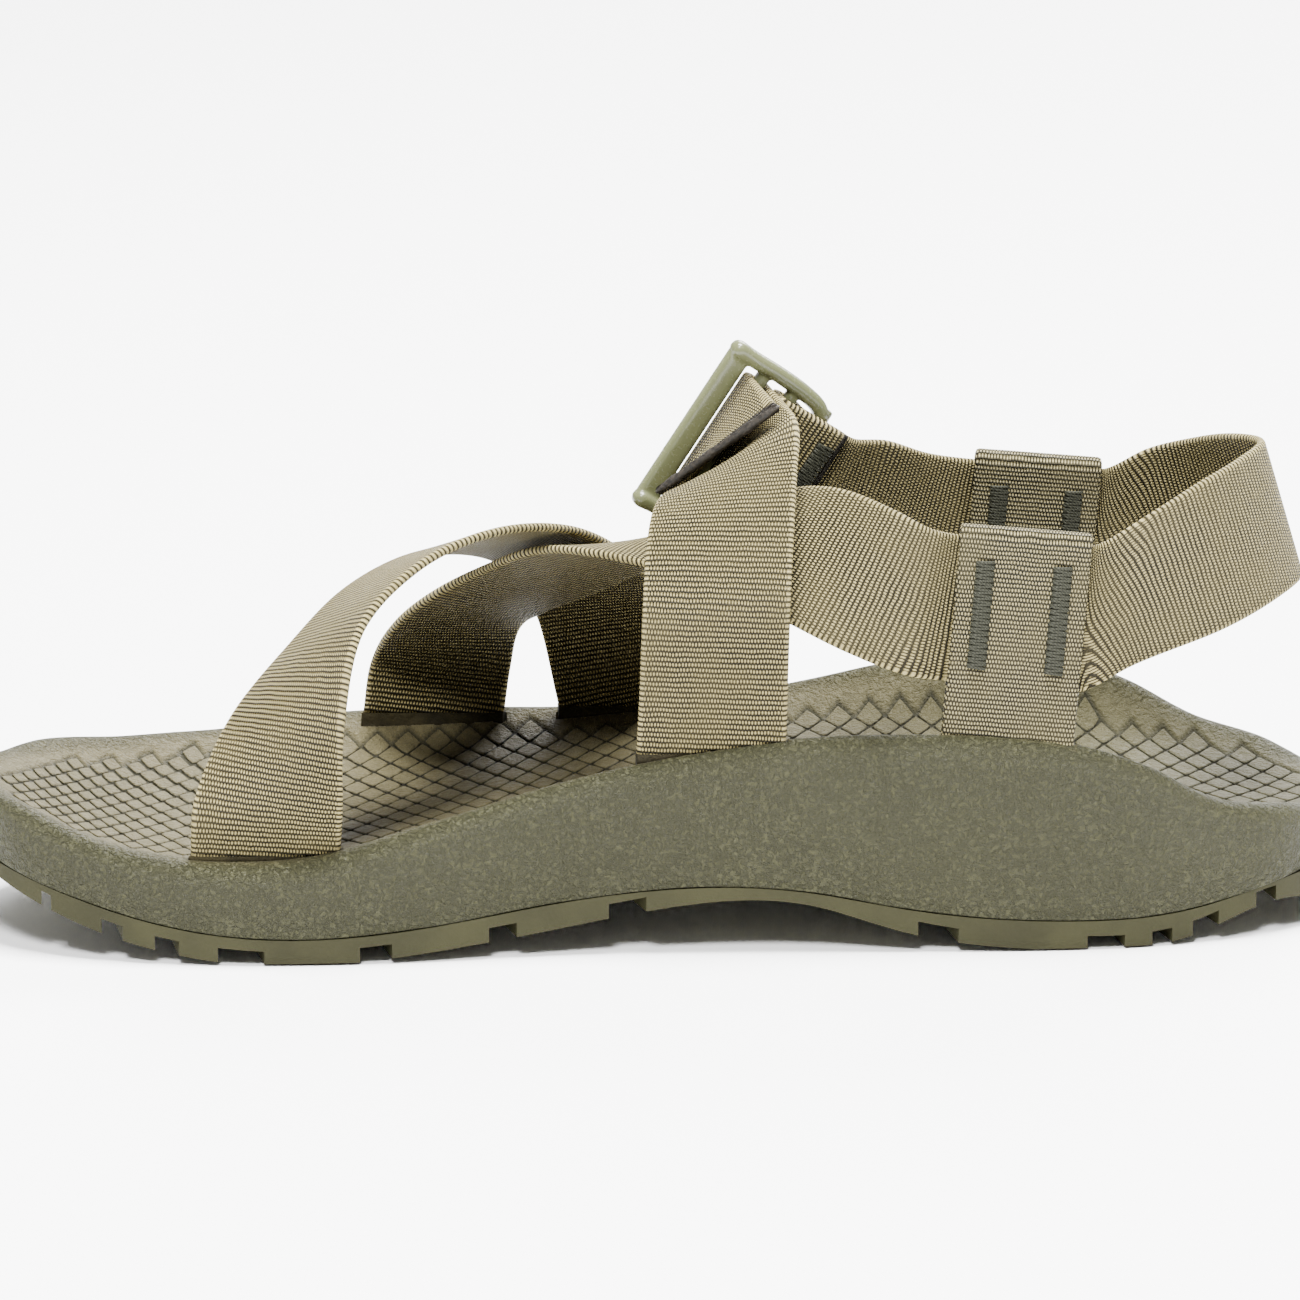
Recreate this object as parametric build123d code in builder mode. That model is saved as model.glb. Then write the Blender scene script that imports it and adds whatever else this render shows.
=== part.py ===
"""Strappy sport sandal, right foot: a bonded two-layer sole laced with one continuous webbing.

Places are written in the last's own frame, in millimetres: +X runs from the toe to the heel,
-Y is the medial (arch) side, +Z is up and the tread stands on Z = 0. The finished pieces are
moved so that the origin is at the middle of the sandal's box, on the ground.
"""

import os
from build123d import *

# ---- overall sizes -------------------------------------------------------------------------
sole_length = 288.0
sole_width = 103.0
outsole_lug_depth = 3.0

# ---- webbing -------------------------------------------------------------------------------
web_width = 30.0
web_thickness = 1.75
slot_side_clearance = 0.6
slot_face_clearance = 0.5
seam_gap = 0.7  # between a riser's back edge and the free part of the heel strap
fold_radius = 3.0  # of the webbing where it turns under the foot

# ---- risers: webbing loops that stand in the sole and hold the heel strap --------------------
riser_width = 26.5
riser_thickness = 1.7
riser_clearance = 0.35  # each side of the strap that it holds
riser_anchor_depth = 9.0  # how far the riser's feet go into the midsole
riser_edge_clearance = 0.5  # above and below the strap that it holds
bartack_width = 4.5
bartack_length = 22.0
bartack_height = 0.5
bartack_spacing = 15.5

# ---- buckle --------------------------------------------------------------------------------
plate_depth = 5.0
bar_depth = 3.0
buckle_thickness = 3.4
rail_width = 3.4
buckle_slot_clearance = 0.9  # beside each edge of the webbing
front_slot = 3.0
middle_slot = 4.6
rear_slot = 5.0
buckle_rounding = 1.1
bar_rounding = 0.7
slot_corner = 0.9
bar_clearance = 0.12  # between a bar and the webbing round it
tail_length = 17.0  # along its longer edge
tail_short_edge = 4.0

base_length = 288.0  # the last that the places below are written for
base_width = 103.0


def last(x, y, z):
    """A place on the base last, moved to the same place on a last of the size set above."""
    return Vector(x * sole_length / base_length, y * sole_width / base_width, z)


# ---- sole: sections from toe to heel ---------------------------------------------------------
# x, then medial and lateral: edge, ground, parting line and rim, and the middle of the footbed
sole_sections = [
    #  x     edge_m edge_l  ground_m ground_l  part_m part_l  rim_m  bed   rim_l
    (-150, -33.0, 1.0, 22.0, 22.0, 25.0, 25.0, 39.5, 37.0, 39.5),
    (-130, -38.0, 11.0, 13.7, 13.7, 17.0, 17.0, 31.7, 29.0, 31.8),
    (-110, -46.5, 31.0, 5.4, 5.4, 10.6, 10.6, 23.7, 21.8, 27.0),
    (-90, -49.7, 44.5, 0.8, 0.8, 6.2, 6.2, 20.6, 18.3, 24.5),
    (-70, -50.0, 51.5, -0.5, -0.6, 4.8, 4.8, 21.4, 17.5, 26.0),
    (-44, -47.5, 53.0, 2.0, -0.3, 7.2, 4.8, 29.0, 18.6, 27.0),
    (-18, -43.5, 51.5, 6.7, 0.6, 12.0, 5.8, 37.0, 21.5, 27.5),
    (10, -42.0, 48.0, 12.4, 2.4, 15.2, 7.0, 43.6, 25.0, 29.8),
    (33, -41.5, 44.5, 11.5, 2.4, 13.6, 6.8, 47.0, 26.8, 36.0),
    (50, -41.0, 42.5, 5.0, 1.2, 9.6, 6.2, 47.6, 26.8, 41.0),
    (70, -40.5, 41.5, 0.7, 0.2, 6.5, 5.7, 47.0, 26.0, 43.5),
    (86, -39.5, 41.0, -0.4, -0.4, 5.6, 5.6, 45.0, 25.0, 43.0),
    (100, -37.5, 39.0, -0.4, -0.4, 5.8, 5.8, 39.5, 24.2, 38.5),
    (114, -33.5, 35.5, 2.6, 2.6, 7.6, 7.6, 30.5, 23.2, 31.0),
    (131, -25.0, 27.5, 6.5, 6.5, 11.3, 11.3, 26.8, 22.6, 27.0),
    (153, -14.0, 16.0, 12.0, 12.0, 16.5, 16.5, 27.0, 24.0, 27.0),
]
toe_tip = (-141, -16)
heel_tip = (147, 1)
section_reach = 75.0  # half the width of a sole section before the outline trims it
bed_shoulder = 0.62  # where across a half section the footbed starts to climb to the rim
bed_shoulder_rise = 0.22  # how much of the climb is done there


def across(x, y, z):
    """A point of a sole section's sketch, whose plane stands across the last at x."""
    place = last(x, y, z)
    return (place.Y, place.Z)


def section_plane(x):
    return Plane(origin=last(x, 0, 0), x_dir=(0, 1, 0), z_dir=(1, 0, 0))


def footbed_curve(x, edge_m, edge_l, rim_m, bed, rim_l):
    """The points of a section's top: flat past the rims, dished between them."""
    middle = (edge_m + edge_l) / 2
    shoulder_m = middle + bed_shoulder * (edge_m - middle)
    shoulder_l = middle + bed_shoulder * (edge_l - middle)
    return [
        across(x, -section_reach, rim_m),
        across(x, edge_m, rim_m),
        across(x, shoulder_m, bed + bed_shoulder_rise * (rim_m - bed)),
        across(x, middle, bed),
        across(x, shoulder_l, bed + bed_shoulder_rise * (rim_l - bed)),
        across(x, edge_l, rim_l),
        across(x, section_reach, rim_l),
    ]


with BuildSketch() as sole_outline:
    with BuildLine():
        inner = [row for row in sole_sections if toe_tip[0] < row[0] < heel_tip[0]]
        medial = [last(row[0], row[1], 0) for row in inner]
        lateral = [last(row[0], row[2], 0) for row in reversed(inner)]
        Spline(last(*toe_tip, 0), *medial, last(*heel_tip, 0), *lateral, periodic=True)
    make_face()

with BuildPart() as sole_blank:
    for x, edge_m, edge_l, ground_m, ground_l, _, _, rim_m, bed, rim_l in sole_sections:
        with BuildSketch(section_plane(x)):
            with BuildLine():
                top = Spline(*footbed_curve(x, edge_m, edge_l, rim_m, bed, rim_l))
                ground = Line(across(x, -section_reach, ground_m), across(x, section_reach, ground_l))
                Line(top @ 0, ground @ 0)
                Line(top @ 1, ground @ 1)
            make_face()
    loft()
    add(sole_outline.sketch)
    extrude(amount=100, mode=Mode.INTERSECT)

with BuildPart() as below_parting:
    for x, _, _, _, _, part_m, part_l, *_ in sole_sections:
        with BuildSketch(section_plane(x)):
            with BuildLine():
                Polyline(
                    across(x, -section_reach, part_m),
                    across(x, section_reach, part_l),
                    across(x, section_reach, -20),
                    across(x, -section_reach, -20),
                    close=True,
                )
            make_face()
    loft()

# ---- webbing places on the last: pairs of edge points ------------------------------------------
# toe strap: the toe-side edge, then the heel-side edge, from the medial to the lateral slot
toe_strap_route = [
    ((-92, -44, 21), (-62, -44, 21)),
    ((-90.5, -43.5, 32), (-62, -46.5, 31)),
    ((-83, -32, 46), (-62, -48, 50)),
    ((-73, -19.5, 57), (-57.5, -41, 67)),
    ((-63, -8, 65.5), (-46, -29.5, 77)),
    ((-51, 5, 69.5), (-31, -15, 80.5)),
    ((-38.5, 18.5, 68), (-15.5, 4, 76)),
    ((-29, 32, 61), (-4, 21, 65)),
    ((-23.5, 43.5, 47.5), (5, 38.5, 49)),
    ((-19.5, 44, 28), (10.5, 44, 28)),
]
# cross strap: the toe-side edge, then the heel-side edge, from the lateral slot to the riser
cross_strap_route = [
    ((-61, 45, 26), (-31, 45, 26)),
    ((-59, 43.5, 37), (-30, 47.5, 35)),
    ((-52.5, 32, 49), (-28.5, 45, 45)),
    ((-44, 22, 58), (-22.5, 37, 51)),
    ((-33.5, 12, 66), (-11, 26.5, 58)),
    ((-22.5, 1, 72.5), (0.5, 14, 67)),
    ((-10, -11, 75), (13, 3.5, 77.5)),
    ((5.5, -22, 74), (25.5, -7, 86)),
    ((22.5, -32.5, 69.5), (37.5, -20, 90)),
    ((39, -38.5, 62.5), (49, -31, 88)),
    ((51, -38.5, 57), (55.5, -34.5, 86)),
]
# instep strap: the toe-side edge, then the heel-side edge, from the arch slot to the buckle
instep_strap_route = [
    ((-3, -38, 40.5), (27.5, -38, 40.5)),
    ((-3, -38.7, 53), (28.5, -38.7, 57)),
    ((-2.5, -38.5, 68), (29, -39, 73)),
    ((-1.5, -31.5, 80.5), (29.5, -32.5, 85.5)),
    ((0.5, -22, 86.5), (29.7, -22.5, 94.5)),
    ((4.5, -10, 87), (29.5, -11, 101)),
]
# heel strap: the lower edge, then the upper edge, from the medial to the lateral riser
heel_strap_route = [
    ((97, -34, 58), (99, -29.5, 87)),
    ((115.5, -26, 63.3), (109.5, -22.5, 92)),
    ((127.3, -13.7, 66), (118.5, -12, 95.2)),
    ((133, 0, 67.3), (124.2, 0, 96.3)),
    ((127.5, 14, 65.5), (119, 12.5, 94.7)),
    ((117, 27, 62), (112, 23.5, 90.5)),
    ((103, 35, 57.5), (103.5, 31, 86.5)),
]
# lateral ankle strap: the lower edge, then the upper edge, between the riser and the buckle
lateral_ankle_route = [
    ((55.5, 31.5, 56.5), (58, 29, 86.5)),
    ((42.5, 22.5, 61.5), (49, 21.5, 91)),
]
# the two channels under the foot: slot middles, and the depth of the webbing's bend below each
front_channel = {"medial": (-77, -44), "lateral": (-46, 45), "bends": (9.5, 9.5), "tops": (21, 26)}
rear_channel = {"medial": (12.25, -38), "lateral": (-4.5, 44), "bends": (20.5, 12.5), "tops": (40.5, 28)}
slot_mouth = 62.0  # the slots are cut through to above the highest rim

# risers: the middle of the foot in the rim, and the way the loop stands
medial_riser_foot, medial_riser_rise = (72, -34.6, 46), (3, 2.4, 37)
lateral_riser_foot, lateral_riser_rise = (78, 35.6, 43), (3, -2, 39)
medial_hold_height = 22.4  # from the foot to the middle of the strap held
lateral_hold_height = 25.2

# buckle: the middle of its front edge, its length (towards the heel) and its outward side
buckle_front = (6.8, 9, 98.2)
buckle_long = Vector(0.803, 0.247, -0.543).normalized()
buckle_wide = Vector(0.546, 0.062, 0.835)
buckle_inward = buckle_long.cross(buckle_wide).normalized()


def strap_plane(low, high, along):
    """A cross-section plane of a strap: x from one edge to the other, z along the strap."""
    middle, across_strap = (low + high) / 2, (high - low).normalized()
    straight = along - across_strap * along.dot(across_strap)
    return Plane(origin=middle, x_dir=across_strap, z_dir=straight)


def strap_planes(pairs, start=None, end=None):
    """Section planes for a strap through pairs of edge points; start and end are its end directions."""
    middles = [(low + high) / 2 for low, high in pairs]
    planes = []
    for i, (low, high) in enumerate(pairs):
        along = middles[min(i + 1, len(pairs) - 1)] - middles[max(i - 1, 0)]
        if i == 0 and start:
            along = Vector(start)
        if i == len(pairs) - 1 and end:
            along = Vector(end)
        planes.append(strap_plane(low, high, along))
    return planes


def on_last(route):
    return [(last(*low), last(*high)) for low, high in route]


def riser_frame(foot, rise):
    """A riser's own plane: y up the loop, x towards the heel, z across its thickness."""
    up = Vector(*rise).normalized()
    back = Vector(1, 0, 0)
    back = (back - up * back.dot(up)).normalized()
    return Plane(origin=last(*foot), x_dir=back, z_dir=back.cross(up))


def held(frame, height, back):
    """The lower and upper edge points of the strap that a riser holds."""
    low = frame.from_local_coords(Vector(back, height - web_width / 2, 0))
    high = frame.from_local_coords(Vector(back, height + web_width / 2, 0))
    return (low, high)


medial_frame = riser_frame(medial_riser_foot, medial_riser_rise)
lateral_frame = riser_frame(lateral_riser_foot, lateral_riser_rise)
half_riser = riser_width / 2
lead_in = half_riser + 1.2  # where a strap becomes flat before it enters a riser
buckle_plane = Plane(origin=last(*buckle_front), x_dir=buckle_long, z_dir=buckle_inward)

# bars of the buckle, measured back from its front edge
front_bar = plate_depth + front_slot
back_bar = front_bar + bar_depth + middle_slot
rear_bar = back_bar + bar_depth + rear_slot
buckle_length = rear_bar + bar_depth + 1.0
half_slot = web_width / 2 + buckle_slot_clearance
half_rail = half_slot + rail_width
ply = web_thickness / 2 + bar_clearance  # from a bar's face to the middle of the webbing on it
ply_inward = buckle_thickness / 2 + ply
second_ply = ply_inward + web_thickness + 0.1
fold_end = buckle_length + 3.4  # where the sewn fold ends and the strap starts to flex
end_round = web_thickness / 2  # how far a band's rounded end reaches past its last point
wrap_end = 2.3  # the last point of the wrap, inwards from the buckle's middle
strap_entry = wrap_end + end_round + 0.4  # where the instep strap and the tail take over from it
approach = 6.0  # the last stretch of the instep strap before the buckle
wrap_radius, loop_radius = 1.6, 1.2
flex_gap = 0.7


def in_buckle(x, y, z):
    return buckle_plane.from_local_coords(Vector(x, y, z))


# ---- underfoot runs and their channels -----------------------------------------------------------
def run_plane(channel):
    """The upright plane of a run under the foot, from its medial slot to its lateral slot."""
    start, end = last(*channel["medial"], 0), last(*channel["lateral"], 0)
    along = (end - start).normalized()
    return Plane(origin=start, x_dir=along, z_dir=along.cross(Vector(0, 0, 1))), (end - start).length


def run_profile(channel, thickness, tops):
    """A band of the given thickness down one slot, under the foot and up the other."""
    _, span = run_plane(channel)
    bend_m, bend_l = channel["bends"]
    half = thickness / 2
    outer = [
        (-half, tops[0]),
        (-half, bend_m - half),
        (span + half, bend_l - half),
        (span + half, tops[1]),
    ]
    with BuildSketch() as profile:
        with BuildLine():
            FilletPolyline(*outer, radius=fold_radius + thickness)
            offset(amount=thickness, side=Side.LEFT)
        make_face()
    return profile.sketch


def channel_cutter(channel):
    """The space that a run needs in the midsole, open at the top of both slots."""
    thick = web_thickness + 2 * slot_face_clearance
    profile = run_profile(channel, thick, (slot_mouth, slot_mouth))
    plane, _ = run_plane(channel)
    half_wide = web_width / 2 + slot_side_clearance
    return extrude(plane * profile, amount=half_wide, dir=(1, 0, 0), both=True, mode=Mode.PRIVATE)


def underfoot_run(channel):
    plane, _ = run_plane(channel)
    profile = run_profile(channel, web_thickness, channel["tops"])
    return extrude(plane * profile, amount=web_width / 2, dir=(1, 0, 0), both=True, mode=Mode.PRIVATE)


with BuildPart() as underfoot_front_run:
    add(underfoot_run(front_channel))

with BuildPart() as underfoot_rear_run:
    add(underfoot_run(rear_channel))


# ---- risers --------------------------------------------------------------------------------------
half_cavity = web_thickness / 2 + riser_clearance
half_loop = half_cavity + riser_thickness


def riser(frame, hold_height):
    """A folded loop of webbing: two legs from the sole and a fold over the strap that it holds."""
    top = hold_height + web_width / 2 + riser_edge_clearance + riser_thickness
    profile_plane = Plane(origin=frame.origin, x_dir=frame.z_dir, z_dir=-frame.x_dir)
    with BuildSketch() as profile:
        with Locations((0, (top - riser_anchor_depth) / 2)):
            Rectangle(2 * half_loop, top + riser_anchor_depth)
        fillet(profile.vertices().group_by(Axis.Y)[-1], radius=half_loop * 0.8)
        cavity_top = top - riser_thickness
        with Locations((0, (cavity_top - riser_anchor_depth - 1) / 2)):
            Rectangle(2 * half_cavity, cavity_top + riser_anchor_depth + 1, mode=Mode.SUBTRACT)
    return extrude(profile_plane * profile.sketch, amount=half_riser, both=True, mode=Mode.PRIVATE)


def riser_pocket(frame):
    """The slot in the rim that a riser's two legs stand in."""
    with BuildSketch() as profile:
        RectangleRounded(
            riser_width + 2 * slot_side_clearance, 2 * (half_loop + slot_face_clearance), 0.8
        )
    lower = riser_anchor_depth + 0.6
    plane = Plane(origin=frame.origin - frame.y_dir * lower, x_dir=frame.x_dir, z_dir=frame.y_dir)
    return extrude(plane * profile.sketch, amount=lower + 20, mode=Mode.PRIVATE)


def bartacks(frame, hold_height):
    """Two raised rows of stitching on each face of a riser."""
    pads = []
    for side in (-1, 1):
        face = Plane(origin=frame.origin + frame.z_dir * side * half_loop, x_dir=frame.x_dir,
                     z_dir=frame.z_dir * side)
        with BuildSketch() as rows:
            with Locations((-bartack_spacing / 2, 0), (bartack_spacing / 2, 0)):
                RectangleRounded(bartack_width, bartack_length, 1.2)
        middle = face.origin + frame.y_dir * (hold_height - 0.5)
        placed = Plane(origin=middle, x_dir=face.x_dir, z_dir=face.z_dir)
        pads.append(extrude(placed * rows.sketch, amount=bartack_height, mode=Mode.PRIVATE))
    return pads


with BuildPart() as medial_riser:
    add(riser(medial_frame, medial_hold_height))

with BuildPart() as lateral_riser:
    add(riser(lateral_frame, lateral_hold_height))

with BuildPart() as medial_riser_bartacks:
    add(bartacks(medial_frame, medial_hold_height))

with BuildPart() as lateral_riser_bartacks:
    add(bartacks(lateral_frame, lateral_hold_height))

# ---- midsole: the cushioned upper layer, slotted for the webbing ------------------------------------
with BuildPart() as midsole:
    add(sole_blank.part)
    add(below_parting.part, mode=Mode.SUBTRACT)
    for channel in (front_channel, rear_channel):
        add(channel_cutter(channel), mode=Mode.SUBTRACT)
    for frame in (medial_frame, lateral_frame):
        add(riser_pocket(frame), mode=Mode.SUBTRACT)

# ---- outsole: the bonded rubber layer with lugs -----------------------------------------------------
# notches in the tread's edge: where they lie on the last, and their width
medial_notches = [
    (-122, 5), (-110, 4), (-99, 4.6), (-84, 9), (-57, 6.4), (-31.5, 5.6), (-6.5, 7.4),
    (56, 8), (90, 7.6), (101.5, 4.2), (110.5, 5.6), (123, 4.6),
]
lateral_notches = [
    (-112, 5), (-98, 5), (-82, 8), (-60, 6), (-38, 6), (-14, 7), (12, 7),
    (54, 8), (84, 7), (97, 5), (110, 5), (123, 4.6),
]
notch_reach = 21.0  # from the edge of the tread towards its middle
notch_sweep = 14.0  # degrees
middle_grooves = (-8.0, 9.0)  # either side of the middle cleats
middle_cuts = [(-104, 4), (-90, 4), (-71, 5), (-50, 5), (-28, 5), (66, 5), (80, 5), (95, 5), (108, 4)]


def tread_edge(x, side):
    """The outline's edge near x, read between the sole sections."""
    rows = [(row[0], row[1] if side < 0 else row[2]) for row in sole_sections]
    for (x0, y0), (x1, y1) in zip(rows, rows[1:]):
        if x0 <= x <= x1:
            return y0 + (y1 - y0) * (x - x0) / (x1 - x0)
    raise ValueError(f"{x} is off the sole")


with BuildPart() as tread_floor:
    for x, _, _, ground_m, ground_l, *_ in sole_sections:
        with BuildSketch(section_plane(x)):
            with BuildLine():
                Polyline(
                    across(x, -section_reach, ground_m + outsole_lug_depth),
                    across(x, section_reach, ground_l + outsole_lug_depth),
                    across(x, section_reach, -20),
                    across(x, -section_reach, -20),
                    close=True,
                )
            make_face()
    loft()

with BuildSketch() as tread_plan:
    for notches, side in ((medial_notches, -1), (lateral_notches, 1)):
        for x, width in notches:
            place = last(x, tread_edge(x, side) - side * (notch_reach / 2 - 2), 0)
            with Locations(Location((place.X, place.Y, 0), (0, 0, -side * notch_sweep))):
                Rectangle(width, notch_reach)
    for x, width in middle_cuts:
        with Locations((last(x, 0, 0).X, 1)):
            Rectangle(width, middle_grooves[1] - middle_grooves[0] - 3.5)

with BuildPart() as outsole:
    add(sole_blank.part)
    add(below_parting.part, mode=Mode.INTERSECT)
    with BuildPart(mode=Mode.PRIVATE) as notches:
        extrude(tread_plan.sketch, amount=40)
        add(tread_floor.part, mode=Mode.INTERSECT)
    add(notches.part, mode=Mode.SUBTRACT)


# ---- straps ---------------------------------------------------------------------------------------
sections_per_span = 4  # a long strap is lofted in spans that share a section


def strap(planes, straight_start=0, straight_end=0):
    """A strap of webbing through its section planes, with some straight intervals at its ends."""
    sections = []
    for plane in planes:
        with BuildSketch(plane) as section:
            Rectangle(web_width, web_thickness)
        sections.append(section.sketch)
    last_curved = len(sections) - 1 - straight_end
    breaks = [*range(straight_start), *range(straight_start, last_curved, sections_per_span)]
    breaks += range(last_curved, len(sections))
    return [
        loft(sections[start : end + 1], mode=Mode.PRIVATE) for start, end in zip(breaks, breaks[1:])
    ]


with BuildPart() as toe_strap:
    add(strap(strap_planes(on_last(toe_strap_route), (0, 0, 1), (0, 0, -1))))

cross_pairs = on_last(cross_strap_route)
cross_pairs += [held(medial_frame, medial_hold_height, back) for back in (-lead_in, half_riser)]
with BuildPart() as cross_strap:
    cross_planes = strap_planes(cross_pairs, (0, 0, 1), medial_frame.x_dir)
    cross_planes[-2] = strap_plane(*cross_pairs[-2], medial_frame.x_dir)
    add(strap(cross_planes, straight_end=1))

buckle_entry = (
    in_buckle(front_bar + bar_depth + ply, -web_width / 2, strap_entry),
    in_buckle(front_bar + bar_depth + ply, web_width / 2, strap_entry),
)
instep_approach = (
    in_buckle(front_bar + bar_depth - 1.5, -web_width / 2, strap_entry + approach),
    in_buckle(front_bar + bar_depth + ply + 0.6, web_width / 2, strap_entry + approach),
)
instep_pairs = on_last(instep_strap_route) + [instep_approach, buckle_entry]
with BuildPart() as instep_strap:
    add(strap(strap_planes(instep_pairs, (0, 0, 1), -buckle_inward), straight_end=1))

heel_pairs = [held(medial_frame, medial_hold_height, half_riser + seam_gap)]
heel_pairs += on_last(heel_strap_route)
heel_pairs += [held(lateral_frame, lateral_hold_height, half_riser + seam_gap)]
with BuildPart() as heel_strap:
    add(strap(strap_planes(heel_pairs, medial_frame.x_dir, -lateral_frame.x_dir)))

flex_middle = (ply_inward + second_ply) / 2
ankle_pairs = [held(lateral_frame, lateral_hold_height, back) for back in (half_riser, -lead_in)]
ankle_pairs += on_last(lateral_ankle_route)
ankle_pairs += [
    (
        in_buckle(fold_end + flex_gap, -web_width / 2, flex_middle),
        in_buckle(fold_end + flex_gap, web_width / 2, flex_middle),
    )
]
with BuildPart() as lateral_ankle_strap:
    ankle_planes = strap_planes(ankle_pairs, -lateral_frame.x_dir, -buckle_long)
    ankle_planes[1] = strap_plane(*ankle_pairs[1], -lateral_frame.x_dir)
    add(strap(ankle_planes, straight_start=1, straight_end=1))


# ---- buckle ---------------------------------------------------------------------------------------
tip_swell = 0.9  # how far a rail's rounded front tip stands out past it
tip_radius = 2.2
seal_lean = (-2.6, 0.6)  # how far the tail's cut end leans along the buckle at each corner
side_plane = Plane(origin=buckle_plane.origin, x_dir=buckle_plane.x_dir, z_dir=-buckle_plane.y_dir)


def band(points, radius):
    """A ply of webbing drawn edge-on, x along the buckle and y inwards, as wide as the webbing."""
    with BuildSketch() as profile:
        with BuildLine():
            FilletPolyline(*points, radius=radius)
            offset(amount=web_thickness / 2, side=Side.BOTH)
        make_face()
    return extrude(side_plane * profile.sketch, amount=web_width / 2, both=True, mode=Mode.PRIVATE)


with BuildPart() as buckle_frame:
    with BuildSketch(buckle_plane.offset(-buckle_thickness / 2)) as buckle_outline:
        with BuildLine():
            tip = (-tip_swell, half_rail + tip_swell)
            side = ThreePointArc(
                tip, (buckle_length * 0.55, half_rail + 0.3), (buckle_length - 1.5, half_rail - 3.2)
            )
            ThreePointArc(side @ 1, (buckle_length, 0), ((side @ 1).X, -(side @ 1).Y))
            mirror(side, about=Plane.XZ)
            ThreePointArc(tip, (0, 0), (tip[0], -tip[1]))
        make_face()
        fillet(buckle_outline.vertices(), radius=tip_radius)
    extrude(amount=buckle_thickness)
    fillet(buckle_frame.faces().sort_by(SortBy.AREA)[-2:].edges(), radius=buckle_rounding)
    with BuildSketch(buckle_plane.offset(-buckle_thickness / 2)):
        for start, length in (
            (plate_depth, front_slot),
            (front_bar + bar_depth, middle_slot),
            (back_bar + bar_depth, rear_slot),
        ):
            with Locations((start + length / 2, 0)):
                RectangleRounded(length, 2 * half_slot, slot_corner)
    extrude(amount=buckle_thickness, mode=Mode.SUBTRACT)
    slot_edges = [
        edge
        for face in buckle_frame.faces().sort_by(SortBy.AREA)[-2:]
        for wire in face.inner_wires()
        for edge in wire.edges()
    ]
    fillet(slot_edges, radius=bar_rounding)

with BuildPart() as buckle_wrap:
    near, far = front_bar - ply, front_bar + bar_depth + ply
    wrap = [(far, wrap_end), (far, -ply_inward), (near, -ply_inward), (near, wrap_end)]
    add(band(wrap, radius=wrap_radius))

with BuildPart() as buckle_anchor_loop:
    near, far = back_bar - ply, back_bar + bar_depth + ply
    add(
        band(
            [
                (fold_end - end_round, second_ply),
                (near, second_ply),
                (near, -ply_inward),
                (far, -ply_inward),
                (far, ply_inward),
                (fold_end - end_round, ply_inward),
            ],
            radius=loop_radius,
        )
    )

with BuildPart() as anchor_bartack:
    stitch_plane = buckle_plane.offset(second_ply + web_thickness / 2)
    with BuildSketch(stitch_plane):
        with Locations((fold_end - 1.2 - bartack_width / 2, 0)):
            RectangleRounded(bartack_width, bartack_length, 1.2)
    extrude(amount=bartack_height)

with BuildPart() as strap_tail:
    near = front_bar - ply
    half_web = web_width / 2
    top = strap_entry
    start = (in_buckle(near, -half_web, top), in_buckle(near, half_web, top))
    end = (
        in_buckle(near + seal_lean[0], -half_web, top + tail_short_edge),
        in_buckle(near + seal_lean[1], half_web, top + tail_length),
    )
    add(strap(strap_planes([start, end], buckle_inward, buckle_inward)))

# ---- the joints' axes and the finished pieces --------------------------------------------------------
pieces = {
    "midsole": midsole,
    "outsole": outsole,
    "toe_strap": toe_strap,
    "cross_strap": cross_strap,
    "instep_strap": instep_strap,
    "underfoot_front_run": underfoot_front_run,
    "underfoot_rear_run": underfoot_rear_run,
    "heel_strap": heel_strap,
    "lateral_ankle_strap": lateral_ankle_strap,
    "medial_riser": medial_riser,
    "lateral_riser": lateral_riser,
    "medial_riser_bartacks": medial_riser_bartacks,
    "lateral_riser_bartacks": lateral_riser_bartacks,
    "buckle_frame": buckle_frame,
    "buckle_wrap": buckle_wrap,
    "buckle_anchor_loop": buckle_anchor_loop,
    "anchor_bartack": anchor_bartack,
    "strap_tail": strap_tail,
}
sandal_box = Compound([piece.part for piece in pieces.values()]).bounding_box()
base = Vector(-sandal_box.center().X, -sandal_box.center().Y, -sandal_box.min.Z)

os.makedirs("parts", exist_ok=True)
for node, piece in pieces.items():
    piece.part.label = node
    export_step(piece.part.moved(Location(base)), f"parts/{node}.step")

buckle_pivot = in_buckle(fold_end + flex_gap / 2, 0, flex_middle) + base
heel_pivot_ends = [
    held(frame, height, half_riser + seam_gap / 2)[0] + base
    for frame, height in ((medial_frame, medial_hold_height), (lateral_frame, lateral_hold_height))
]
heel_axis = (heel_pivot_ends[1] - heel_pivot_ends[0]).normalized()
print("origin moved by", base)
print("buckle_tilt pivot", buckle_pivot, "axis", -buckle_wide.normalized())
print("heel_strap_fold pivot", (heel_pivot_ends[0] + heel_pivot_ends[1]) / 2, "axis", heel_axis)
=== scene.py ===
import math

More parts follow.
